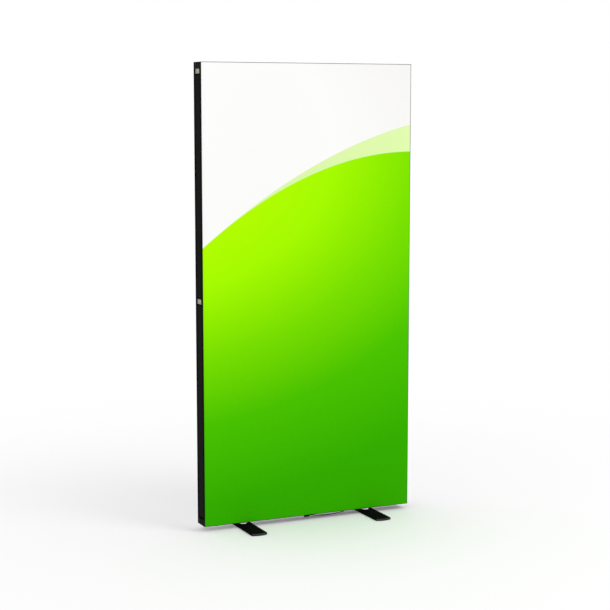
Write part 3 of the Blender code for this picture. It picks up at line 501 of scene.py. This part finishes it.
def own_place(tree):
    """The piece's own coordinates in metres, as (vector, x, y, z) sockets."""
    vector = add_node(tree, "ShaderNodeTexCoord").outputs["Object"]
    parts = add_node(tree, "ShaderNodeSeparateXYZ", [("Vector", vector)])
    return vector, *parts.outputs


def grain(tree, spots, detail=2.0):
    """Noise from 0 to 1, with so many spots a metre along x, y and z."""
    vector = add_node(tree, "ShaderNodeTexCoord").outputs["Object"]
    scaled = add_node(tree, "ShaderNodeMapping", [("Vector", vector), ("Scale", spots)])
    inputs = [("Vector", scaled.outputs["Vector"]), ("Scale", 1.0), ("Detail", detail)]
    return add_node(tree, "ShaderNodeTexNoise", inputs).outputs[0]


def spread(tree, value, low, high, source=(0.3, 0.7)):
    """A value moved from its source range to another, and kept inside it."""
    inputs = [("Value", value), (1, source[0]), (2, source[1]), (3, low), (4, high)]
    return add_node(tree, "ShaderNodeMapRange", inputs).outputs[0]


def blend_colours(tree, share, first, second):
    """A colour between two, which may be values or sockets."""
    node = add_node(tree, "ShaderNodeMix", data_type="RGBA")
    pairs = ((0, share), (6, first), (7, second))
    for key, value in pairs:
        if isinstance(value, bpy.types.NodeSocket):
            tree.links.new(value, node.inputs[key])
        else:
            node.inputs[key].default_value = (*value, 1) if isinstance(value, tuple) else value
    return node.outputs[2]


def sum_of_squares(tree, first, second):
    """The squared distance that two offsets make between them."""
    squares = [calculate(tree, "MULTIPLY", offset, offset) for offset in (first, second)]
    return calculate(tree, "ADD", *squares)


def raise_surface(tree, shader, height, depth):
    """Bumps a surface by a height from 0 to 1 over a real depth in metres."""
    bump = add_node(tree, "ShaderNodeBump", [("Height", height), ("Distance", depth)])
    tree.links.new(bump.outputs["Normal"], shader.inputs["Normal"])


def plug_in(tree, shader, colour, roughness, height, depth):
    """Gives a shader the colour, the roughness and the height that a pattern made."""
    tree.links.new(colour, shader.inputs["Base Color"])
    tree.links.new(roughness, shader.inputs["Roughness"])
    raise_surface(tree, shader, height, depth)


def follow(tree, shader, pattern, colours, roughness, depth):
    """Lets colour, roughness and height all follow one pattern, each between its two ends."""
    colour = blend_colours(tree, spread(tree, pattern, 0.0, 1.0), *colours)
    plug_in(tree, shader, colour, spread(tree, pattern, *roughness), pattern, depth)


def paint(material, *targets):
    """Gives a material to pieces, or to solid nodes by name."""
    for target in targets:
        piece = nodes[target] if isinstance(target, str) else target
        if not piece.material_slots:
            piece.data.materials.append(material)
        for material_slot in piece.material_slots:
            material_slot.material = material
    print(f"{material.name} on {len(targets)} pieces")


def named(*starts):
    """The names of the solid nodes that begin with any of these words."""
    return [name for name in nodes if name.startswith(starts)]


# %% [markdown]
# The frame is black anodised aluminium. The dye takes a little unevenly, and the die that the bar was
# pushed through leaves fine lines along its length.
#
# A metallic black would mirror the white studio and look grey, which the real satin coat doesn't. So the
# colour is nearly black, the shine is low, and the lines are noise drawn out along the bar, in roughness
# and in a bump of a few hundredths of a millimetre. The uprights and the rails need their lines the other
# way.

# %% Black extrusions
BLACK_ANODISED = (0.004, 0.004, 0.0044)
DEEP_DYE = (0.0022, 0.0022, 0.0025)
THIN_DYE = (0.0050, 0.0050, 0.0053)
DIE_LINE = (0.0095, 0.0095, 0.0100)
DIE_LINE_DEPTH = 0.00003


def black_extrusion(name, spots):
    """Black anodised metal with die lines. Spots a metre are few along the bar and many across it."""
    material, tree, shader = start_finish(name, BLACK_ANODISED, 0.5, specular=0.003)
    lines = grain(tree, spots, detail=3.0)
    clouds = grain(tree, (9, 9, 9))
    dyed = blend_colours(tree, spread(tree, clouds, 0.0, 1.0), DEEP_DYE, THIN_DYE)
    on_line = spread(tree, lines, 0.0, 0.7, source=(0.4, 0.75))
    colour = blend_colours(tree, on_line, dyed, DIE_LINE)
    plug_in(tree, shader, colour, spread(tree, lines, 0.44, 0.60), lines, DIE_LINE_DEPTH)
    return material


paint(black_extrusion("black_uprights", (1400, 1400, 3)), *named("upright_"))
paint(black_extrusion("black_rails", (3, 1400, 1400)), "top_rail", "bottom_rail")

# %% [markdown]
# The caps on the rails' ends are moulded in black plastic, and so is the inlet block in the bottom rail.
#
# Tool makers spark-erode the mould, which leaves a fine even pebble on the plastic. A noise with spots of
# about half a millimetre gives that pebble, and a slower one keeps the shine from being even all over. The
# ribs on the caps are painted a paler grey, broken up by streaky noise. Nothing marks them off but their
# place, so the mask is worked out from the ribs' spacing and the caps' height.

# %% Moulded plastics
RIB_SPACING = 0.023
CAP_RIB_HALF = 0.0012
CAP_BORDER = 0.0025
PALE_RIB_GREY = (0.075, 0.075, 0.076)
PEBBLE_DEPTH = 0.00004

lower_cap_low, lower_cap_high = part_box("end_cap_bottom_left")
upper_cap_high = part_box("end_cap_top_left")[1]
cap_height = lower_cap_high.z - lower_cap_low.z
caps_middle = (lower_cap_low.z + upper_cap_high.z) / 2
cap_from_middle = (upper_cap_high.z - lower_cap_low.z - cap_height) / 2


def moulded(name, dark, light, roughness, shine, pale_part=None):
    """Moulded plastic with a pebbled surface, between two colours, and a paler third one painted where
    pale_part is set.
    """
    material, tree, shader = start_finish(name, light, roughness, specular=shine)
    pebbles = grain(tree, (1900, 1900, 1900), detail=1.0)
    clouds = grain(tree, (30, 30, 30))
    cloudy = spread(tree, clouds, 0.3, 1.0)
    speckle = calculate(tree, "MULTIPLY", cloudy, spread(tree, pebbles, 0.6, 1.0))
    colour = blend_colours(tree, speckle, dark, light)
    if pale_part:
        # the part that pale_part marks is painted a paler grey
        colour = blend_colours(tree, pale_part(tree), colour, PALE_RIB_GREY)
    uneven = spread(tree, pebbles, roughness - 0.05, roughness + 0.07)
    plug_in(tree, shader, colour, uneven, pebbles, PEBBLE_DEPTH)
    return material


def cap_ribs(tree):
    """1 on the caps' ribs, broken up by streaky noise, and 0 elsewhere."""
    _, _, across, height = own_place(tree)
    count = calculate(tree, "ROUND", calculate(tree, "DIVIDE", across, RIB_SPACING))
    nearest = calculate(tree, "MULTIPLY", count, RIB_SPACING)
    off_rib = calculate(tree, "ABSOLUTE", calculate(tree, "SUBTRACT", across, nearest))
    on_rib = calculate(tree, "LESS_THAN", off_rib, CAP_RIB_HALF)
    off_axis = calculate(tree, "ABSOLUTE", across)
    one_of_three = calculate(tree, "LESS_THAN", off_axis, RIB_SPACING * 1.5)
    off_middle = calculate(tree, "ABSOLUTE", calculate(tree, "SUBTRACT", height, caps_middle))
    off_cap = calculate(tree, "ABSOLUTE", calculate(tree, "SUBTRACT", off_middle, cap_from_middle))
    inside = calculate(tree, "LESS_THAN", off_cap, cap_height / 2 - CAP_BORDER)
    ribs = calculate(tree, "MULTIPLY", calculate(tree, "MULTIPLY", on_rib, one_of_three), inside)
    rib_streaks = spread(tree, grain(tree, (300, 1500, 90)), 0.45, 1.0)
    return calculate(tree, "MULTIPLY", ribs, rib_streaks)


black_moulding = moulded(
    "black_moulding", dark=(0.006, 0.006, 0.006), light=(0.015, 0.015, 0.0155), roughness=0.55, shine=0.01
)
cap_moulding = moulded(
    "cap_moulding",
    dark=(0.005, 0.005, 0.005),
    light=(0.012, 0.012, 0.0125),
    roughness=0.55,
    shine=0.01,
    pale_part=cap_ribs,
)
grey_moulding = moulded(
    "grey_moulding", dark=(0.27, 0.27, 0.265), light=(0.35, 0.35, 0.345), roughness=0.50, shine=0.25
)
yellow_moulding = moulded(
    "yellow_moulding", dark=(0.66, 0.50, 0.004), light=(0.82, 0.66, 0.006), roughness=0.42, shine=0.06
)
paint(black_moulding, "power_inlet")
paint(cap_moulding, *named("end_cap_"))
paint(grey_moulding, *named("latch_housing_"))
paint(yellow_moulding, *named("latch_button_"))

# %% [markdown]
# A soft dark strip clips into the channel down each side, and covers it between the latches. It is a shade
# lighter than the metal, and its face has fine ribs that hide scuffs.
#
# The ribs are too fine to model over two metres, so they are a sine wave across the strip, a rib each
# millimetre, which drives the bump and paints shade into the valleys a little. Faint smudges lie over them.

# %% Cover strips
RIB_PITCH = 0.0010
RIB_DEPTH = 0.00012
STRIP_BLACK = (0.012, 0.012, 0.0125)
STRIP_VALLEY_SHADE = (0.0060, 0.0060, 0.0062)
STRIP_RIDGE = (0.0105, 0.0105, 0.0109)
STRIP_SMUDGE = (0.0125, 0.0125, 0.0128)

material, tree, shader = start_finish("ribbed_strip", STRIP_BLACK, 0.62, specular=0.006)
_, _, depth_place, _ = own_place(tree)
wave = calculate(tree, "SINE", calculate(tree, "MULTIPLY", depth_place, math.tau / RIB_PITCH))
rib = spread(tree, wave, 0.0, 1.0, source=(-1.0, 1.0))
smudge = spread(tree, grain(tree, (60, 60, 14)), 0.0, 1.0)
# painted shade: the rib valleys are coloured darker than the ridges
rib_shaded = blend_colours(tree, rib, STRIP_VALLEY_SHADE, STRIP_RIDGE)
colour = blend_colours(tree, smudge, rib_shaded, STRIP_SMUDGE)
plug_in(tree, shader, colour, spread(tree, smudge, 0.56, 0.70, source=(0.0, 1.0)), rib, RIB_DEPTH)
paint(material, *named("cover_strip_"))

# %% [markdown]
# The feet are steel plate with a black powder coat. The powder melts into a skin with a soft orange peel,
# and a little dust and the rub of shoes make its upper face patchy.
#
# The peel is noise with spots of about a millimetre. A foot is a length of flat bar, so only its ends are
# cut. The end faces are painted a shade lighter, a painted highlight: the part of the surface's own normal
# that points along the bar tells them from the sides and the flats.

# %% Powder-coated feet
POWDER_BLACK = (0.005, 0.005, 0.005)
POWDER_DARK = (0.0012, 0.0012, 0.0013)
POWDER_LIGHT = (0.0048, 0.0046, 0.0050)
POWDER_DUSTY = (0.0080, 0.0076, 0.0080)
POWDER_END_HIGHLIGHT = (0.050, 0.050, 0.051)
PEEL_DEPTH = 0.00006

material, tree, shader = start_finish("powder_coat", POWDER_BLACK, 0.55, specular=0.004)
peel = grain(tree, (1100, 1100, 1100))
dust = spread(tree, grain(tree, (45, 45, 45), detail=4.0), 0.0, 1.0, source=(0.42, 0.72))
normal = add_node(tree, "ShaderNodeTexCoord").outputs["Normal"]
normal_parts = add_node(tree, "ShaderNodeSeparateXYZ", [("Vector", normal)])
lit_end_faces = calculate(tree, "ABSOLUTE", normal_parts.outputs[1])
skin = blend_colours(tree, spread(tree, peel, 0.0, 1.0), POWDER_DARK, POWDER_LIGHT)
flat = blend_colours(tree, calculate(tree, "MULTIPLY", dust, 0.6), skin, POWDER_DUSTY)
# painted highlight: the end faces are coloured lighter than the sides and flats
colour = blend_colours(tree, lit_end_faces, flat, POWDER_END_HIGHLIGHT)
plug_in(tree, shader, colour, spread(tree, dust, 0.50, 0.68, source=(0.0, 1.0)), peel, PEEL_DEPTH)
paint(material, *named("foot_plate_"))

# %% [markdown]
# The hubs are bare turned steel, which shows the path of the tool as fine rings. Bolts, nuts and springs
# are plated with zinc, which dulls to a faint haze.
#
# On a hub, one number gives every ring: the distance from the axis plus the height. It changes across the
# flats and down the sides, but not round the hub, so noise read along it makes rings on both.

# %% Steel
TOOL_RINGS = 3000  # a metre
TOOL_MARK_DEPTH = 0.00001
BRIGHT_STEEL = (0.93, 0.91, 0.95)
STEEL_SHADES = ((0.89, 0.87, 0.92), (0.97, 0.95, 0.99))
ZINC = (0.55, 0.55, 0.57)
ZINC_SHADES = ((0.44, 0.45, 0.47), (0.64, 0.64, 0.63))
HAZE_DEPTH = 0.00002


def turned_steel(name):
    """Bright steel with tool marks round the piece's own upright axis."""
    material, tree, shader = start_finish(name, BRIGHT_STEEL, 0.28, metallic=1.0)
    _, x, y, z = own_place(tree)
    radius = calculate(tree, "SQRT", sum_of_squares(tree, x, y))
    track = calculate(tree, "MULTIPLY", calculate(tree, "ADD", radius, z), TOOL_RINGS)
    inputs = [("W", track), ("Scale", 1.0), ("Detail", 2.0)]
    rings = add_node(tree, "ShaderNodeTexNoise", inputs, noise_dimensions="1D").outputs[0]
    follow(tree, shader, rings, STEEL_SHADES, (0.20, 0.34), TOOL_MARK_DEPTH)
    return material


paint(turned_steel("turned_steel"), *hubs)

zinc_plate, tree, shader = start_finish("zinc_plate", ZINC, 0.35, metallic=1.0)
haze = grain(tree, (240, 240, 240), detail=3.0)
follow(tree, shader, haze, ZINC_SHADES, (0.28, 0.46), HAZE_DEPTH)
paint(zinc_plate, *springs, *named("foot_bolt_", "foot_nut_"))

# %% [markdown]
# Inside the joints, angle plates, splices and the crossbar are aluminium as it left the mill, with long
# pale lines. They are out of sight while the wall is built up, but a take-apart view shows them.
#
# The finish is that of the frame without its dye: metal, light, and lines along the bar.

# %% Bare aluminium
ALUMINIUM = (0.72, 0.72, 0.74)
ALUMINIUM_SHADES = ((0.60, 0.60, 0.62), (0.78, 0.78, 0.79))


def mill_aluminium(name, spots):
    """Undyed extruded metal with lines along the bar."""
    material, tree, shader = start_finish(name, ALUMINIUM, 0.38, metallic=1.0)
    lines = grain(tree, spots, detail=3.0)
    follow(tree, shader, lines, ALUMINIUM_SHADES, (0.30, 0.48), DIE_LINE_DEPTH)
    return material


paint(mill_aluminium("mill_brackets", (1200, 1200, 5)), *named("corner_angle_", "middle_splice_"))
paint(mill_aluminium("mill_crossbar", (5, 1200, 1200)), "crossbar")

# %% [markdown]
# The light bars are white-coated strips with a row of clear lenses, one every 60 mm.
#
# A bar is a single solid, lenses and all, so its finish has to tell them apart. The lenses stand further
# into the wall than the strip's face, so the distance from the middle of the wall separates them: the strip
# is matt white with a thin copper track down each side of the row, and the lenses are smooth and glassy.

# %% Light bars
LENS_HEIGHT = 0.0055
LENS_MARGIN = 0.0002
TRACK_PLACE = 0.0125
TRACK_WIDTH = 0.0012
WHITE_COAT = (0.80, 0.80, 0.79)
WHITE_COAT_SHADES = ((0.74, 0.74, 0.73), (0.83, 0.83, 0.82))
WHITE_COAT_DEPTH = 0.00002
TRACK_COPPER = (0.62, 0.50, 0.33)
LENS_CLEAR = (0.90, 0.91, 0.92)
strip_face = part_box("light_bar_right_upper")[0].x + LENS_HEIGHT

material, tree, shader = start_finish("light_bar", WHITE_COAT, 0.45)
_, across, depth_place, _ = own_place(tree)
lens = calculate(tree, "LESS_THAN", calculate(tree, "ABSOLUTE", across), strip_face - LENS_MARGIN)
track_gap = calculate(tree, "SUBTRACT", calculate(tree, "ABSOLUTE", depth_place), TRACK_PLACE)
track = calculate(tree, "LESS_THAN", calculate(tree, "ABSOLUTE", track_gap), TRACK_WIDTH / 2)
speckle = spread(tree, grain(tree, (500, 500, 500)), 0.0, 1.0)
coat = blend_colours(tree, speckle, *WHITE_COAT_SHADES)
strip = blend_colours(tree, track, coat, TRACK_COPPER)
colour = blend_colours(tree, lens, strip, LENS_CLEAR)
smooth_lens = spread(tree, lens, 0.48, 0.12, source=(0.0, 1.0))
plug_in(tree, shader, colour, smooth_lens, speckle, WHITE_COAT_DEPTH)
paint(material, *named("light_bar_"))

# %% [markdown]
# The strips sewn to the cloths are clear silicone, milky and a little sticky, so they pick up dust. The
# lead and the wires inside are sheathed in soft black plastic.
#
# Silicone lets light a little way in. Scattering could be computed, but it costs a lot for something the
# cloth covers, so a cloudy colour stands in for it. The sheath is matt, with a faint lengthwise drag.

# %% Silicone and sheath
SILICONE = (0.66, 0.66, 0.64)
SILICONE_SHADES = ((0.58, 0.58, 0.55), (0.74, 0.74, 0.72))
SILICONE_DEPTH = 0.00002
SHEATH = (0.005, 0.005, 0.0053)
SHEATH_SHADES = ((0.003, 0.003, 0.003), (0.008, 0.008, 0.0085))
DRAG_DEPTH = 0.00004

material, tree, shader = start_finish("milky_silicone", SILICONE, 0.5, specular=0.4)
cloudy = spread(tree, grain(tree, (120, 120, 120), detail=3.0), 0.0, 1.0)
milk = blend_colours(tree, cloudy, *SILICONE_SHADES)
plug_in(tree, shader, milk, spread(tree, cloudy, 0.42, 0.60, source=(0.0, 1.0)), cloudy, SILICONE_DEPTH)
paint(material, *named("edge_strip_"))

material, tree, shader = start_finish("black_sheath", SHEATH, 0.55, specular=0.015)
drag = grain(tree, (260, 900, 900))
follow(tree, shader, drag, SHEATH_SHADES, (0.42, 0.60), DRAG_DEPTH)
paint(material, lead, *named("inner_wire_"))

lead_socket.data.materials.append(black_moulding)
lead_socket.data.materials.append(zinc_plate)

# %% [markdown]
# The cloth is the wall. It is a warp knit, white to start with, and dye is pressed into its front.
#
# The knitted look comes from two sine waves at right angles, 0.6 mm from loop to loop, for bump and for a
# faint painted shade in the valleys between loops. The glow comes from behind: on the real wall, lights in
# the uprights shine across the hollow, and the cloth spreads what passes through it. Lamps behind a
# see-through sheet would be noisy and would be lost outside this renderer. So the dye feeds the surface
# twice, as the colour that room light falls on and as light that the cloth gives off. The glow is a touch
# stronger near the uprights, as it really is, and a little weaker at the very edge, where the silicone strip
# stands behind the cloth.

# %% Cloth and glow
KNIT_PITCH = 0.0006
CLOTH_SHARE = 0.53  # how much of the print's brightness is dye in room light
GLOW = 0.43  # and how much is light from inside
MIDDLE_LIGHT = 0.94  # what is left of it midway between the uprights
EDGE_LIGHT = 0.90  # and at the very edge
EDGE_LIGHT_PLACES = (0.0006, 0.006)  # from the edge
WALL_WIDTH = 1.0
KNIT_DEPTH = 0.00008

cloth_low, cloth_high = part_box("front_graphic")
cloth_half_width = (cloth_high.x - cloth_low.x) / 2
cloth_half_height = (cloth_high.z - cloth_low.z) / 2
cloth_centre = (cloth_high.z + cloth_low.z) / 2


def knit(tree):
    """The knit's height from 0 to 1: fine loops on a square grid, with uneven thread."""
    _, x, _, z = own_place(tree)
    wales = calculate(tree, "SINE", calculate(tree, "MULTIPLY", x, math.tau / KNIT_PITCH))
    courses = calculate(tree, "SINE", calculate(tree, "MULTIPLY", z, math.tau / KNIT_PITCH))
    loops = spread(tree, calculate(tree, "MULTIPLY", wales, courses), 0.0, 1.0, source=(-1.0, 1.0))
    thread = grain(tree, (700, 700, 160))
    return calculate(tree, "MULTIPLY", loops, spread(tree, thread, 0.75, 1.0))


def backlight(tree):
    """The light from inside: strongest beside the uprights, and a little weaker at the cloth's edge."""
    _, x, _, z = own_place(tree)
    from_middle = calculate(tree, "ABSOLUTE", x)
    squared = calculate(tree, "MULTIPLY", from_middle, from_middle)
    between = spread(tree, squared, MIDDLE_LIGHT, 1.0, source=(0.0, (WALL_WIDTH / 2) ** 2))
    beside = calculate(tree, "SUBTRACT", cloth_half_width, from_middle)
    from_centre = calculate(tree, "ABSOLUTE", calculate(tree, "SUBTRACT", z, cloth_centre))
    above = calculate(tree, "SUBTRACT", cloth_half_height, from_centre)
    inset = calculate(tree, "MINIMUM", beside, above)
    at_edge = spread(tree, inset, EDGE_LIGHT, 1.0, source=EDGE_LIGHT_PLACES)
    return calculate(tree, "MULTIPLY", between, at_edge)


def scaled(tree, colour, share):
    """A colour made so many times as bright."""
    inputs = [(0, colour), ("Scale", share)]
    return add_node(tree, "ShaderNodeVectorMath", inputs, operation="SCALE").outputs[0]


def lit_cloth(name, make_print):
    """A knit cloth lit from behind. make_print returns the dye's colour socket for a tree."""
    material, tree, shader = start_finish(name, (0.8, 0.8, 0.8), 0.85, specular=0.004)
    dye = make_print(tree)
    height = knit(tree)
    # painted shade: the knit's valleys darken the base colour a little
    knit_valley_shade = spread(tree, height, 0.97, 1.0, source=(0.0, 1.0))
    cloth = scaled(tree, dye, calculate(tree, "MULTIPLY", knit_valley_shade, CLOTH_SHARE))
    tree.links.new(cloth, shader.inputs["Base Color"])
    tree.links.new(scaled(tree, dye, backlight(tree)), shader.inputs["Emission Color"])
    shader.inputs["Emission Strength"].default_value = GLOW
    raise_surface(tree, shader, height, KNIT_DEPTH)
    return material


# %% [markdown]
# The print is plain decoration of the kind such walls are shown with: a white upper part and a green field
# below, split by one rising arc, with a paler veil that widens to the right.
#
# It could be an image, but an image has a fixed sharpness and weight. As a formula it stays crisp at any
# distance. The arc is a parabola in the width, and each region is a comparison of the height with an arc.
# The green itself is six dyes blended by the distance from a bright spot beyond the left edge.

# %% The print
ARC_LEFT = 1.239  # height of the arc at the left edge, in metres
ARC_RISE = 0.400
VEIL_RISE = 0.120
EDGE_BLUR = 0.0008
BRIGHT_SPOT = (-0.29, 1.673)  # from the left edge, and from the floor
BRIGHT_REACH = (3.02, 2.10)  # how far its light carries, aside and up or down
WHITES = (  # dyes by their nearness to the bright spot
    (0.52, (0.885, 0.876, 0.862)),
    (0.70, (0.990, 0.986, 0.980)),
)
VEIL_DYE = (0.74, 0.95, 0.42)
UNDYED_SHADES = ((0.940, 0.942, 0.935), (0.965, 0.966, 0.962))
GREENS = (  # and so are these
    (0.05, (0.034, 0.370, 0.0003)),
    (0.25, (0.036, 0.425, 0.0003)),
    (0.42, (0.069, 0.554, 0.0003)),
    (0.56, (0.195, 0.754, 0.0003)),
    (0.70, (0.384, 0.985, 0.0004)),
    (0.84, (0.500, 1.000, 0.0006)),
)


def dye_ramp(tree, place, stops):
    """Colours blended along a value, from (place, colour) stops."""
    ramp = add_node(tree, "ShaderNodeValToRGB", [("Fac", place)])
    while len(ramp.color_ramp.elements) < len(stops):
        ramp.color_ramp.elements.new(1.0)
    for stop, (stop_place, colour) in zip(ramp.color_ramp.elements, stops):
        stop.position = stop_place
        stop.color = (*colour, 1)
    return ramp.outputs["Color"]


def arc_height(tree, share, rise):
    """A parabola that starts steep at the left edge and is level at the right one."""
    left_over = calculate(tree, "SUBTRACT", 1.0, share)
    climbed = calculate(tree, "SUBTRACT", 1.0, calculate(tree, "POWER", left_over, 2.0))
    return calculate(tree, "MULTIPLY", climbed, rise)


def printed(tree):
    """The dye's colour all over the front."""
    _, x, _, z = own_place(tree)
    share = calculate(tree, "ADD", x, WALL_WIDTH / 2)
    arc = calculate(tree, "ADD", arc_height(tree, share, ARC_RISE), ARC_LEFT)
    lift = calculate(tree, "MULTIPLY", calculate(tree, "POWER", share, 2.0), VEIL_RISE)
    veil = calculate(tree, "ADD", arc, lift)
    over_arc, over_veil = [
        spread(tree, calculate(tree, "SUBTRACT", z, line), 0.0, 1.0, source=(-EDGE_BLUR, EDGE_BLUR))
        for line in (arc, veil)
    ]
    aside, below = [
        calculate(tree, "DIVIDE", calculate(tree, "SUBTRACT", place, spot), reach)
        for place, spot, reach in zip((share, z), BRIGHT_SPOT, BRIGHT_REACH)
    ]
    distance = calculate(tree, "SQRT", sum_of_squares(tree, aside, below))
    nearness = calculate(tree, "SUBTRACT", 1.0, distance)
    field = blend_colours(tree, over_arc, dye_ramp(tree, nearness, GREENS), VEIL_DYE)
    return blend_colours(tree, over_veil, field, dye_ramp(tree, nearness, WHITES))


def undyed(tree):
    """White cloth, with the slight warmth and unevenness of undyed thread."""
    slubs = spread(tree, grain(tree, (60, 60, 12), detail=3.0), 0.0, 1.0)
    return blend_colours(tree, slubs, *UNDYED_SHADES)


paint(lit_cloth("printed_knit", printed), front_cloth)
paint(lit_cloth("white_knit", undyed), back_cloth)

# %% [markdown]
# The stage is a pale floor that fades into a white background, as on a studio's paper sweep.
#
# Turning the lamps up would whiten the floor, but it would burn out the cloth too. So the floor is lit at a
# plain level, and only what the camera sees of it, and mirrors and glass, drifts to white with the distance
# from the wall. Close to the wall it stays a real floor, with the shadow of the wall and a little green
# light.

# %% Floor
FLOOR_HALF = 40.0  # metres, so that its edge is out of sight
FLOOR_COLOUR = (0.94, 0.94, 0.94)
NEAR_WHITE = 0.08  # how far the floor close to the wall is whitened
WHITE_REACH = 1.52  # metres
PLAIN_CENTRE = (0.24, 0.18)  # the floor is least whitened here, where the wall's shadow falls


def seen_directly(tree):
    """1 for what the camera, a mirror or a glass shows, and 0 for light on its way to a surface."""
    rays = add_node(tree, "ShaderNodeLightPath").outputs
    seen = calculate(tree, "MAXIMUM", rays["Is Camera Ray"], rays["Is Glossy Ray"])
    return calculate(tree, "MAXIMUM", seen, rays["Is Transmission Ray"])


bm = bmesh.new()
bmesh.ops.create_grid(bm, x_segments=1, y_segments=1, size=FLOOR_HALF)
floor = bpy.data.objects.new("floor", mesh_from("floor", bm, smooth=False))
bpy.context.scene.collection.objects.link(floor)

material, tree, shader = start_finish("pale_floor", FLOOR_COLOUR, 0.7, specular=0.1)
_, x, y, _ = own_place(tree)
aside, behind = [calculate(tree, "SUBTRACT", place, centre) for place, centre in zip((x, y), PLAIN_CENTRE)]
squares = sum_of_squares(tree, aside, behind)
near = calculate(tree, "EXPONENT", calculate(tree, "MULTIPLY", squares, -1 / WHITE_REACH**2))
away = calculate(tree, "SUBTRACT", 1.0, calculate(tree, "MULTIPLY", near, 1 - NEAR_WHITE))
white = add_node(tree, "ShaderNodeEmission", [("Color", (1, 1, 1, 1)), ("Strength", 1.0)])
mix = add_node(tree, "ShaderNodeMixShader", [(0, calculate(tree, "MULTIPLY", away, seen_directly(tree)))])
tree.links.new(shader.outputs["BSDF"], mix.inputs[1])
tree.links.new(white.outputs["Emission"], mix.inputs[2])
tree.links.new(mix.outputs["Shader"], tree.nodes["Material Output"].inputs["Surface"])
floor.data.materials.append(material)
print(f"floor {2 * FLOOR_HALF:.0f} m across")

# %% [markdown]
# The light is an even white dome, with one large lamp high in front on the right.
#
# A small lamp would throw a hard shadow, which the photograph doesn't show. A disk four metres across gives
# a soft one, and the dome fills the rest. The dome lights things at a plain level, and only looks fully
# white, by the same trick as the floor.

# %% Sky and lamp
DOME = 0.80  # of full white
LAMP_PLACE = (3.6, -4.6, 5.2)
LAMP_TARGET = (0, 0, 0.9)
LAMP_SIZE = 4.0
LAMP_POWER = 190.0  # watts

world = bpy.data.worlds.new("studio")
world.use_nodes = True
bpy.context.scene.world = world
tree = world.node_tree
sky = tree.nodes["Background"]
strength = spread(tree, seen_directly(tree), DOME, 1.0, source=(0.0, 1.0))
tree.links.new(strength, sky.inputs["Strength"])
sky.inputs["Color"].default_value = (1, 1, 1, 1)

lamp_data = bpy.data.lights.new("lamp", "AREA")
lamp_data.shape = "DISK"
lamp_data.size = LAMP_SIZE
lamp_data.energy = LAMP_POWER
lamp = bpy.data.objects.new("lamp", lamp_data)
lamp.location = LAMP_PLACE
aim = Vector(LAMP_TARGET) - Vector(LAMP_PLACE)
lamp.rotation_euler = aim.to_track_quat("-Z", "Y").to_euler()
bpy.context.scene.collection.objects.link(lamp)
bpy.context.scene.view_settings.view_transform = "Standard"
print(f"lamp {LAMP_POWER:.0f} W, {aim.length:.1f} m away")

# %% [markdown]
# Last, the scene is brought up to date.

# %% Finish
bpy.context.view_layer.update()
